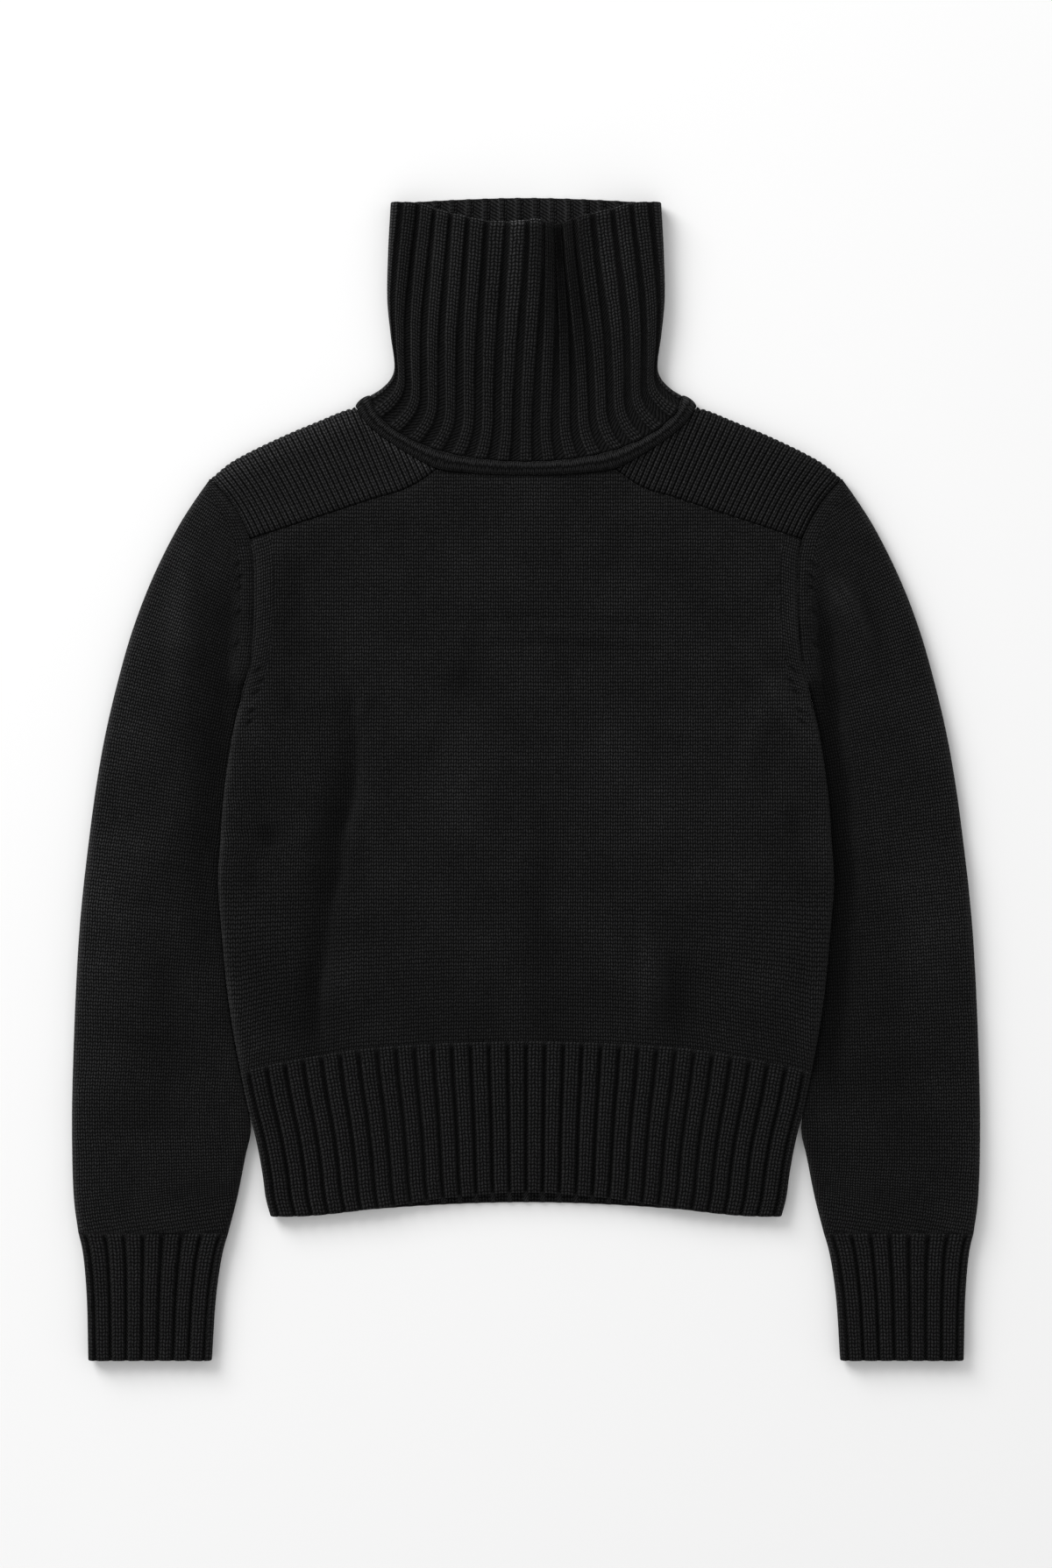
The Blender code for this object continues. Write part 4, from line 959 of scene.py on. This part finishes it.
def ring_skin(above, below):
    """Two layers' skins as one closed ring; the stitches run on round the left-hand fold."""
    turned = below.stitches.copy()
    turned[..., 0] = above.stitches[:, :1, 0] - (turned[..., 0] - below.stitches[:, :1, 0])
    return Skin(ring_of(above.points, below.points), ring_of(above.stitches, turned), 0,
                tone=ring_of(above.tone, below.tone))


# ---------------------------------------------------------------- shoulder panels
def make_yoke(name, side):
    u = np.linspace(0.002, 0.9995, YOKE_RIBS * YOKE_RIB_COLUMNS + 1)
    phase = np.arange(len(u)) / YOKE_RIB_COLUMNS
    groove = (0.5 + 0.5 * np.cos(2 * np.pi * phase)) ** 2.5
    outer = yoke_rows(u, YOKE_GROOVE * groove, 0.6)
    inner = yoke_rows(u, np.full(len(u), YOKE_WALL), 0.0)
    crests = yoke_rows(u, 0 * groove, 0.0)
    along = np.linalg.norm(np.diff(crests, axis=0), axis=-1)
    courses = np.concatenate((np.zeros((1, len(u))), np.cumsum(along, axis=0)))
    uv = np.stack(np.broadcast_arrays(phase, courses / COURSE), -1)
    # Painted shading: painted shade in the grooves and seams, and the left-hand panel, at the light's side,
    # painted lighter, above all along its fold.
    tone = (YOKE_CREST_HIGHLIGHT - YOKE_GROOVE_SHADE * groove) * (0.94 - 0.075 * side)
    tone = tone * (1 - SEAM_SHADE * nearness(courses, SEAM_LINE))
    tone *= 1 - SEAM_SHADE * nearness((1 - u) * YOKE_WIDTH, SEAM_LINE)
    tone *= 1 + (0.35 - 0.4 * side) * nearness(courses - courses[YOKE_ROWS - 1], 9.0)
    skin = Skin(outer, uv, tone=tone)
    picked = Skin(inner, uv).picked(thinned(len(outer), 2), thinned(len(u), YOKE_RIB_COLUMNS))
    return wall_mesh(name, flipped(skin, side), flipped(picked, side))


def yoke_rows(u, groove, flattened):
    """Rows of points up the panel, then turned over the shoulder, where the grooves flatten out."""
    ones = np.ones_like(u)
    length = np.linalg.norm(yoke_place(u, ones) - yoke_place(u, 0 * ones), axis=-1)
    wrap = smooth_step(u, YOKE_CORNER, YOKE_CORNER + 0.045)
    fold = PLAIN_FOLD * 0.8 * wrap + 0.4 * (1 - wrap)
    start = SEAM_GAP / length
    rows = []
    for share in np.linspace(0.0, 1.0, YOKE_ROWS):
        v = start + share * (1 - fold / length - start)
        x, y = np.moveaxis(yoke_place(u, v), -1, 0)
        to_edge = (1 - v) * length
        level = yoke_level(x, y, to_edge, wrap, v * length, u)
        kept = 1 - flattened * wrap * nearness(to_edge - fold, 7.0)
        rows.append(np.stack((x, y, level - groove * kept), -1))
    x, y = np.moveaxis(yoke_place(u, 1 - fold / length), -1, 0)
    level = yoke_level(x, y, fold, wrap, length, u)
    sunk = groove * (1 - flattened * wrap)
    for step in range(1, YOKE_TURN_ROWS + 1):
        angle = math.pi * wrap * step / YOKE_TURN_ROWS
        reach = (1 - wrap) * 0.03 * step + (fold - sunk) * np.sin(angle)
        x, y = np.moveaxis(yoke_place(u, 1 - (fold - reach) / length), -1, 0)
        rows.append(np.stack((x, y, level / 2 + (level / 2 - sunk) * np.cos(angle)), -1))
    return np.array(rows)


def yoke_level(x, y, to_edge, wrap, from_seam, u):
    lift = wrap * nearness(to_edge, EDGE_ROLL)
    dips = SEAM_DIP * (0.8 * nearness(from_seam, SEAM_REACH) + nearness((1 - u) * YOKE_WIDTH, 4.0))
    return 10.0 + 0.6 * lift + 0.7 * unevenness(x, y) - dips


# ---------------------------------------------------------------- sleeves
def sleeve_inner_path():
    """From the shoulder's tip round the armhole, along the body's side, then free to the cuff."""
    hem = Path(HEM_SIDE)
    beside = BODY_SIDE_PATH.at(np.linspace(SIDE_LENGTH / BODY_SIDE_PATH.length, 0.0, 40))
    beside = np.vstack((beside, hem.at(np.array((0.08, 0.18, 0.28))))) + np.array((TOUCH_GAP, 0.0))
    return joined(ARMHOLE_PATH, Path([tuple(point) for point in beside] + list(SLEEVE_INNER_END), 6))


class Sleeve:
    """One sleeve in right-hand plan: its outer fold, its inner edge and the layers between them."""

    def __init__(self, side):
        self.side = side
        self.outer = Path(SLEEVE_OUTER)
        self.inner = sleeve_inner_path()
        self.opposite = self.outer.length * self.outer.share_at(UNDERARM_OPPOSITE)

    def along_inner(self, v):
        """How far down the inner edge the rows v end; the underarm faces its opposite point."""
        return np.interp(v * self.outer.length, (0.0, self.opposite, self.outer.length),
                         (0.0, ARMHOLE_PATH.length, self.inner.length))

    def place(self, u, v):
        outer = self.outer.at(v)
        inner = self.inner.at(self.along_inner(v) / self.inner.length)
        margin = TOUCH_GAP / np.maximum(np.linalg.norm(inner - outer, axis=-1), 1.0)
        return outer + (inner - outer) * (u * (1 - margin))[..., None]

    def wrap(self, v):
        return 1.0, smooth_step(self.along_inner(v) - ARMHOLE_PATH.length, -UNDERARM_TURN, 0.0)

    def fold(self, v):
        width = across_length(self.place, v, 2)
        return np.minimum(PLAIN_FOLD, 0.7 * width), np.minimum(PLAIN_FOLD, 0.2 * width)

    def middle(self, v):
        return SLEEVE_MIDDLE + (RIB_MIDDLE - SLEEVE_MIDDLE) * smooth_step(v, 0.85, 1.0)

    def tuck(self, y):
        return np.interp(y, *zip(*SLEEVE_TUCK[self.side]))

    def folds(self, x, y):
        return relief(SLEEVE_FOLDS[self.side], x * self.side, y)

    def unevenness(self, x, y):
        return unevenness(x + 61.0 * self.side, y)

    def height(self, v, x, y, lifts):
        level = SLEEVE_TOP + EDGE_RISE * 0.6 * lifts[0] - self.tuck(y) * lifts[1]
        level = pressed(level + self.folds(x, y) + self.unevenness(x, y))
        level = towards_rib(level, (1 - v) * self.outer.length, 0.6, 9.0)
        return level - marks_at(SLEEVE_MARKS, x, y)

    def rows(self):
        above = np.linspace(0.5, self.opposite, SLEEVE_HEAD_ROWS)
        below = np.linspace(self.opposite, self.outer.length - TOUCH_GAP, SLEEVE_ARM_ROWS)[1:]
        return np.concatenate((above, below)) / self.outer.length

    def ring(self, rows, sunk):
        """Points of both layers, right round the sleeve, sunk below its face."""
        layers = ((self.height, SLEEVE_COLUMNS), (None, SLEEVE_UNDER_COLUMNS))
        return ring_of(*[Layer(self.place, self.middle, top, self.fold, self.wrap).grid(
            across_stations(count, SLEEVE_WIDTH, PLAIN_FOLD), rows, sunk) for top, count in layers])

    def tone(self, points, folded):
        """The top layer's painted shading: painted shade in its folds and marks, where it tucks down, at its
        seam and low down, and painted highlights along its outer fold; its first column lies along the inner
        edge.
        """
        x, y = points[..., 0], points[..., 1]
        tuck = self.tuck(y) * nearness(np.linalg.norm(points - points[:, :1], axis=-1), EDGE_ROLL)
        depth = self.folds(x, y) - tuck * folded
        depth += SHADED_UNEVENNESS * self.unevenness(x, y)
        tone = painted_fold_shading(depth) * painted_mark_shading(SLEEVE_MARKS, x, y)
        tone *= painted_edge_shading(points, 0.0, 0.4) * painted_edge_shading(points, 0.0, 0.3 - 0.2 * self.side, 26.0)
        tone *= painted_edge_shading(points, -SEAM_SHADE * (1 - folded), 0.0, SEAM_LINE)
        painted_right_shade = 0.025 * (1 + self.side) * smooth_step(-y, -60.0, 20.0)
        return tone * (1 - PAINTED_SLEEVE_LOW_SHADE * smooth_step(-y, 60.0, 200.0) - painted_right_shade)


def make_sleeve(name, side):
    sleeve = Sleeve(side)
    rows = sleeve.rows()
    outer, inner = sleeve.ring(rows, 0.0), sleeve.ring(rows, PLAIN_WALL)
    by_rows = column_stitches(outer, SLEEVE_COLUMNS - 1)
    courses = length_along(sleeve.outer, outer[..., 0], outer[..., 1]) / COURSE
    stitches = np.stack((by_rows[..., 0], courses), -1)
    folded = sleeve.wrap(rows)[1]
    closed = int(np.argmax(folded > 0.999))
    edging = edge_columns(by_rows, np.arange(len(rows)) < closed + 8, SLEEVE_EDGE_WALES)
    tone = np.ones(outer.shape[:2])
    tone[:, :SLEEVE_COLUMNS] = sleeve.tone(outer[:, :SLEEVE_COLUMNS], folded[:, None])
    skin = flipped(Skin(outer, stitches, closed, edging, tone), side)
    kept_rows = np.union1d(thinned(len(rows), 6), [closed])
    under_columns = SLEEVE_COLUMNS - 1 + thinned(SLEEVE_UNDER_COLUMNS, 4)
    kept_columns = np.union1d(thinned(SLEEVE_COLUMNS, 4), under_columns)
    lining = flipped(Skin(inner, stitches, closed), side).picked(kept_rows, kept_columns)
    return wall_mesh(name, skin, lining)


# ---------------------------------------------------------------- collar
def collar_open(v):
    return smooth_step(v, 0.05, 1.0)


def collar_middle(v):
    return RIB_MIDDLE + (COLLAR_RIM_MIDDLE - RIB_MIDDLE) * collar_open(v)


def collar_height(v, x, y, lifts):
    edge = 2 * collar_middle(v)
    crown = COLLAR_BASE_TOP + (COLLAR_RIM_TOP - COLLAR_BASE_TOP) * collar_open(v)
    arch = np.cos(np.minimum(np.abs(x) / COLLAR_HALF, 1.0) * math.pi / 2) ** 1.3
    folds = (relief(COLLAR_FOLDS, x, y) + 0.8 * unevenness(x, y)) * collar_open(v)
    return edge + (crown - edge) * arch + folds


def collar_place(base, rim):
    side = Path(COLLAR_SIDE)
    return coons(Path(whole(base)), Path(whole(rim)), mirrored(side), side)


def gathered(place):
    """The collar's plan with its ribs drawn together along the deepest fold."""

    def drawn(u, v):
        points = place(u, v).copy()
        for at_rim, at_base, reach, pull in COLLAR_GATHER:
            away = (points[..., 0] - at_base - (at_rim - at_base) * v) / reach
            points[..., 0] -= pull * smooth_step(v, 0.1, 1.0) * away * np.exp(0.5 - away ** 2 / 2)
        return points

    return drawn


def collar_rib_width(v):
    open_share = smooth_step(v, 0.1, 1.05)
    return tuple(base + (rim - base) * open_share for base, rim in zip(COLLAR_RIB_BASE, COLLAR_RIB_RIM))


def make_collar():
    length = Path(COLLAR_SIDE).length
    v, mix = row_shares(COLLAR_ROWS, length, end_rim=(RIB_WALL - RIB_GROOVE) / 2)
    v[0] = BAND_GAP / length
    front_place = gathered(collar_place(BAND_FRONT_TOP, COLLAR_RIM))
    upper = Layer(front_place, collar_middle, collar_height, collar_middle)
    under = Layer(collar_place(BAND_BACK_TOP, COLLAR_RIM_BACK), collar_middle, None, collar_middle)
    stations = across_stations(COLLAR_COLUMNS, 2 * COLLAR_HALF, RIB_FOLD)
    ribbing = (COLLAR_GROOVES, collar_rib_width, lambda v: 1.0)
    return ribbed_tube("roll_collar", 1, upper, under, stations, v, mix, ribbing, collar_painted_shading)


def collar_painted_shading(points, v):
    """Painted shading of the collar's top layer: painted shade in its folds, painted highlight along its
    folded sides, its rim and its right-hand part.
    """
    x, y = points[..., 0], points[..., 1]
    depth = relief(COLLAR_FOLDS, x, y) * smooth_step(y, 270.0, 385.0)
    tone = painted_fold_shading(1.5 * depth) * (1 - 0.4 * smooth_step(-depth, 5.0, 13.0))
    rim = 1 + (0.7 + 2.0 * nearness(x - 2.0, 18.0)) * nearness(1 - v, 0.016)[:, None]
    return tone * rim * painted_edge_shading(points, 1.4, 0.4) * (1 + 0.12 * smooth_step(x, 35.0, 70.0))


# ---------------------------------------------------------------- neck band
def make_neck_band():
    front = (NECK_PATH, Path(whole(BAND_FRONT_TOP)))
    back = (Path(whole(BAND_BACK)), Path(whole(BAND_BACK_TOP)))
    front_end = BAND_REACH / front[0].length
    back_end = (BAND_REACH + BAND_BACK_INSET) / back[0].length
    halves = [BAND_TURN_HALF] + [BAND_HALF] * (BAND_FRONT_SECTIONS - 2) + [BAND_TURN_HALF]
    sections = [band_section(front, share, BAND_TOP_MIDDLE, half, 1.0)
                for share, half in zip(np.linspace(front_end, 1 - front_end, len(halves)), halves)]
    sections += band_turn(front, back, 1.0)
    sections += [band_section(back, share, BAND_UNDER_MIDDLE, BAND_UNDER_HALF, -1.0)
                 for share in np.linspace(1 - back_end, back_end, BAND_BACK_SECTIONS)]
    sections += reversed(band_turn(front, back, 0.0))
    around = ((0, 1), (0, 1))       # the band is closed lengthways and round its section
    numbers = np.arange(len(sections) * len(BAND_ANGLES)).reshape(len(sections), -1)
    points = np.pad(np.array(sections), around + ((0, 0),), "wrap")
    along = np.linalg.norm(np.diff(points.mean(axis=1), axis=0), axis=-1)
    wales = np.concatenate(([0.0], np.cumsum(along))) / BAND_WALE
    courses = np.linspace(0.0, BAND_COURSES, points.shape[1])
    stitches = np.stack(np.broadcast_arrays(wales[:, None], courses), -1)
    painted_shadings = np.tile(BAND_PAINTED_LEVEL + BAND_SHADE * np.cos(BAND_ANGLES), len(sections))
    knitting = Knitting(np.array(sections).reshape(-1, 3), painted_shadings)
    knitting.add_grid(Skin(points, stitches), np.pad(numbers, around, "wrap"))
    return subdivided(knitting.finished("neck_roll"), 2)


def subdivided(piece, levels):
    modifier = piece.modifiers.new("smooth", "SUBSURF")
    modifier.levels = levels
    modifier.render_levels = levels
    deps = bpy.context.evaluated_depsgraph_get()
    mesh = bpy.data.meshes.new_from_object(piece.evaluated_get(deps))
    piece.modifiers.clear()
    piece.data = mesh
    return piece


def band_section(edges, share, level, half, up):
    outer, inner = [edge.at(share) for edge in edges]
    centre = np.array((*(outer + inner) / 2, level))
    return band_ring(centre, inner - outer, np.array((0.0, 0.0, up)), half)


def band_turn(front, back, end):
    """Sections where the band turns from the top layer to the lower one."""
    middle = (BAND_TOP_MIDDLE + BAND_UNDER_MIDDLE) / 2
    sections = []
    for step in (1, 2, 3):
        angle = math.pi * step / 4
        inset = BAND_REACH - BAND_RADIUS * math.sin(angle)
        lean = float(smooth_step(angle, 0.0, math.pi))
        outer, inner = [(1 - lean) * near_end(above, end, inset) + lean * near_end(below, end, inset)
                        for above, below in zip(front, back)]
        across = inner - outer
        outward = np.array((across[1], -across[0])) / np.linalg.norm(across)
        outward *= math.copysign(1.0, outward[0] * (end - 0.5))
        centre = np.array((*(outer + inner) / 2, middle + BAND_RADIUS * math.cos(angle)))
        normal = np.array((*(outward * math.sin(angle)), math.cos(angle)))
        sections.append(band_ring(centre, across, normal, BAND_TURN_HALF))
    return sections


def near_end(path, end, inset):
    return path.at(abs(end - inset / path.length))


def band_ring(centre, across, normal, half):
    width = float(np.linalg.norm(across))
    reach = np.array((*across, 0.0)) / width * (width / 2 - BAND_GAP)
    return [centre + 1.11 * reach * math.cos(a) + 1.08 * normal * half * math.sin(a) for a in BAND_ANGLES]


# ---------------------------------------------------------------- wool
def new_group(name, inputs, outputs):
    group = bpy.data.node_groups.new(name, "ShaderNodeTree")
    for label, kind, value in inputs:
        socket = group.interface.new_socket(label, in_out="INPUT", socket_type=kind)
        if value is not None:
            socket.default_value = value
    for label, kind in outputs:
        group.interface.new_socket(label, in_out="OUTPUT", socket_type=kind)
    return group, group.nodes.new("NodeGroupInput"), group.nodes.new("NodeGroupOutput")


def calculate(tree, operation, *values):
    """One Math node; each value is a number or a socket."""
    node = tree.nodes.new("ShaderNodeMath")
    node.operation = operation
    for socket, value in zip(node.inputs, values):
        if isinstance(value, (int, float)):
            socket.default_value = value
        else:
            tree.links.new(value, socket)
    return node.outputs[0]


def arithmetic(tree):
    """The commonest Math nodes of a tree, as functions of two values."""
    return [functools.partial(calculate, tree, name) for name in ("MULTIPLY", "ADD", "SUBTRACT")]


def noise(group, scale, detail):
    place = group.nodes.new("ShaderNodeTexCoord")
    texture = group.nodes.new("ShaderNodeTexNoise")
    texture.inputs["Scale"].default_value = scale
    texture.inputs["Detail"].default_value = detail
    group.links.new(place.outputs["Object"], texture.inputs["Vector"])
    return texture.outputs[0]


def bulge(group, value, power):
    """A rounded hump over each whole step of a value."""
    turn = calculate(group, "SINE", calculate(group, "MULTIPLY", value, math.pi))
    return calculate(group, "POWER", calculate(group, "MAXIMUM", turn, 0.0), power)


def wandering(group, value, scale, size):
    """A value that strays a little from place to place, as hand-knitted stitches do."""
    times, plus, minus = arithmetic(group)
    return plus(value, times(minus(noise(group, scale, 1.0), 0.5), size))


def knit_group():
    """Height of knitted stitches: slanting legs in pairs, and low purl bars in a rib's grooves."""
    group, given, result = new_group(
        "knit_stitch",
        (("Stitch", "NodeSocketVector", None), ("Slant", "NodeSocketFloat", 0.4),
         ("Ribbed", "NodeSocketFloat", 0.0), ("Gaps", "NodeSocketFloat", 0.8),
         ("Painted Shading", "NodeSocketFloat", 1.0)),
        (("Height", "NodeSocketFloat"), ("Painted Light And Mottle", "NodeSocketFloat")))
    times, plus, minus = arithmetic(group)
    parts = group.nodes.new("ShaderNodeSeparateXYZ")
    group.links.new(given.outputs["Stitch"], parts.inputs[0])
    sideways = wandering(group, parts.outputs[0], 170.0, 0.35)
    upwards = wandering(group, parts.outputs[1], 230.0, 0.6)
    # Four columns make a rib: two knitted ones on its crest, two purled ones in the groove.
    quarter = calculate(group, "FRACT", times(parts.outputs[0], 0.25))
    from_crest = calculate(group, "ABSOLUTE", minus(quarter, 0.5))
    purl = times(calculate(group, "GREATER_THAN", from_crest, 0.25), given.outputs["Ribbed"])
    column = calculate(group, "FRACT", sideways)
    leg = times(calculate(group, "ABSOLUTE", minus(column, 0.5)), 2.0)
    slant = times(leg, given.outputs["Slant"])
    lean = plus(slant, times(minus(column, slant), purl))
    course = calculate(group, "FRACT", minus(upwards, lean))
    across = calculate(group, "MAXIMUM", bulge(group, leg, 0.6), times(purl, 0.8))
    yarn = times(across, bulge(group, course, given.outputs["Gaps"]))
    hairs = times(noise(group, 1300.0, 3.0), 0.25)
    group.links.new(plus(yarn, hairs), result.inputs["Height"])
    # Painted shade in the gaps between stitches: the share of yarn colour, with a random mottle, times the
    # piece's painted shading.
    mottle = plus(times(noise(group, 420.0, 3.0), 1.5), 0.25)
    yarn_light_and_mottle = times(calculate(group, "POWER", yarn, 2.0), mottle)
    group.links.new(times(yarn_light_and_mottle, given.outputs["Painted Shading"]), result.inputs["Painted Light And Mottle"])
    return group


KNIT = knit_group()
# The gaps' colour is painted shade; the yarn's colour is the wool's own.
GAP_SHADE_COLOUR = (0.0020, 0.0020, 0.0020, 1.0)
YARN_COLOUR = (0.0232, 0.0232, 0.0237, 1.0)


def wool(name, relief_depth, ribbed, gaps):
    """Matt black wool, with painted shade in the gaps between stitches and each piece's painted shading."""
    material = bpy.data.materials.new(name)
    material.use_nodes = True
    tree = material.node_tree
    shader = tree.nodes["Principled BSDF"]
    shader.inputs["Roughness"].default_value = 0.75
    shader.inputs["Specular IOR Level"].default_value = 0.03
    shader.inputs["Sheen Weight"].default_value = 0.05
    shader.inputs["Sheen Roughness"].default_value = 0.25
    uv = tree.nodes.new("ShaderNodeUVMap")
    uv.uv_map = "stitches"
    tone = tree.nodes.new("ShaderNodeAttribute")
    tone.attribute_name = "tone"
    knit = tree.nodes.new("ShaderNodeGroup")
    knit.node_tree = KNIT
    knit.inputs["Ribbed"].default_value = ribbed
    knit.inputs["Gaps"].default_value = gaps
    tree.links.new(uv.outputs[0], knit.inputs["Stitch"])
    tree.links.new(tone.outputs["Fac"], knit.inputs["Painted Shading"])
    colour = tree.nodes.new("ShaderNodeMix")
    colour.data_type = "RGBA"
    colour.clamp_factor = False
    colour.inputs["A"].default_value = GAP_SHADE_COLOUR
    colour.inputs["B"].default_value = YARN_COLOUR
    tree.links.new(knit.outputs["Painted Light And Mottle"], colour.inputs["Factor"])
    tree.links.new(colour.outputs["Result"], shader.inputs["Base Color"])
    bump = tree.nodes.new("ShaderNodeBump")
    bump.inputs["Distance"].default_value = relief_depth
    tree.links.new(knit.outputs["Height"], bump.inputs["Height"])
    tree.links.new(bump.outputs[0], shader.inputs["Normal"])
    return material


PLAIN_WOOL = wool("plain_knit", 0.0013, 0.0, 0.5)
RIB_WOOL = wool("rib_knit", 0.0012, 1.0, 0.5)
FINE_RIB_WOOL = wool("fine_rib_knit", 0.0009, 0.0, 0.3)
ROLLED_WOOL = wool("rolled_knit", 0.0015, 0.0, 0.6)


def dress(piece, node, material):
    """Give a piece its wool, attach it to the root body, and hide the solid that it stands for."""
    piece.data.materials.clear()
    piece.data.materials.append(material)
    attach(piece, "root")
    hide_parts(node)


# ---------------------------------------------------------------- the sweater
dress(make_front(), "front", PLAIN_WOOL)
dress(make_back(), "back", PLAIN_WOOL)
dress(make_hem("hem_rib_front", HEM_EDGE, RIB_MIDDLE + MIDDLE_STEP, rib_height, RIB_WALL, RIB_GROOVE,
               HEM_COLUMNS),
      "hem_front", RIB_WOOL)
dress(make_hem("hem_rib_back", HEM_EDGE_BACK, RIB_MIDDLE - MIDDLE_STEP, None, UNDER_RIB_WALL, UNDER_GROOVE,
               HEM_BACK_COLUMNS),
      "hem_back", RIB_WOOL)
for label, side in (("left", -1), ("right", 1)):
    dress(make_sleeve("sleeve_" + label + "_knit", side), "sleeve_" + label, PLAIN_WOOL)
    dress(make_cuff("cuff_rib_" + label, side), "cuff_" + label, RIB_WOOL)
    dress(make_yoke("shoulder_rib_" + label, side), "yoke_" + label, FINE_RIB_WOOL)
dress(make_collar(), "collar", RIB_WOOL)
dress(make_neck_band(), "neck_band", ROLLED_WOOL)


# ---------------------------------------------------------------- floor, light and camera
# From here on sizes are metres.
FLOOR_SIZE = 14.0
FLOOR_LEVEL = -0.0003   # a hair below the wool that rests on it
ROOM_LIGHT = 0.66
WINDOW_SIZE = 3.6
WINDOW_PLACE = (-3.6, 4.0, 3.3)
WINDOW_POWER = 360.0
LENS = 100.0            # both in mm
SENSOR = 36.0
VIEW_SPAN = 1.163       # how much of the sweater's top layer the view takes in, along its long side
VIEW_MIDDLE = -0.0039
TOP_LAYER = 0.010


def make_floor():
    bpy.ops.mesh.primitive_plane_add(size=FLOOR_SIZE, location=(0.0, 0.0, FLOOR_LEVEL))
    floor = bpy.context.object
    floor.name = "ground"
    material = bpy.data.materials.new("pale_ground")
    material.use_nodes = True
    shader = material.node_tree.nodes["Principled BSDF"]
    shader.inputs["Base Color"].default_value = (0.88, 0.88, 0.88, 1.0)
    shader.inputs["Roughness"].default_value = 0.9
    shader.inputs["Specular IOR Level"].default_value = 0.1
    floor.data.materials.append(material)


def make_light():
    world = bpy.data.worlds.new("soft_room")
    world.use_nodes = True
    world.node_tree.nodes["Background"].inputs["Color"].default_value = (1.0, 1.0, 1.0, 1.0)
    world.node_tree.nodes["Background"].inputs["Strength"].default_value = ROOM_LIGHT
    bpy.context.scene.world = world
    light = bpy.data.lights.new("window", "AREA")
    light.shape = "RECTANGLE"
    light.size = WINDOW_SIZE
    light.size_y = WINDOW_SIZE
    light.energy = WINDOW_POWER
    lamp = bpy.data.objects.new("window", light)
    lamp.location = WINDOW_PLACE
    aim = -np.array(lamp.location)
    lamp.rotation_euler = (math.atan2(math.hypot(aim[0], aim[1]), -aim[2]), 0.0,
                           math.atan2(aim[1], aim[0]) - math.pi / 2)
    bpy.context.scene.collection.objects.link(lamp)


def make_camera():
    """Straight above, looking down."""
    camera = bpy.data.cameras.new("above")
    camera.lens = LENS
    camera.sensor_width = SENSOR
    camera.sensor_fit = "AUTO"
    camera.clip_end = 50.0
    view = bpy.data.objects.new("above", camera)
    view.location = (0.0, VIEW_MIDDLE, VIEW_SPAN * LENS / SENSOR + TOP_LAYER)
    bpy.context.scene.collection.objects.link(view)
    bpy.context.scene.camera = view
    bpy.context.scene.view_settings.view_transform = "Standard"


make_floor()
make_light()
make_camera()
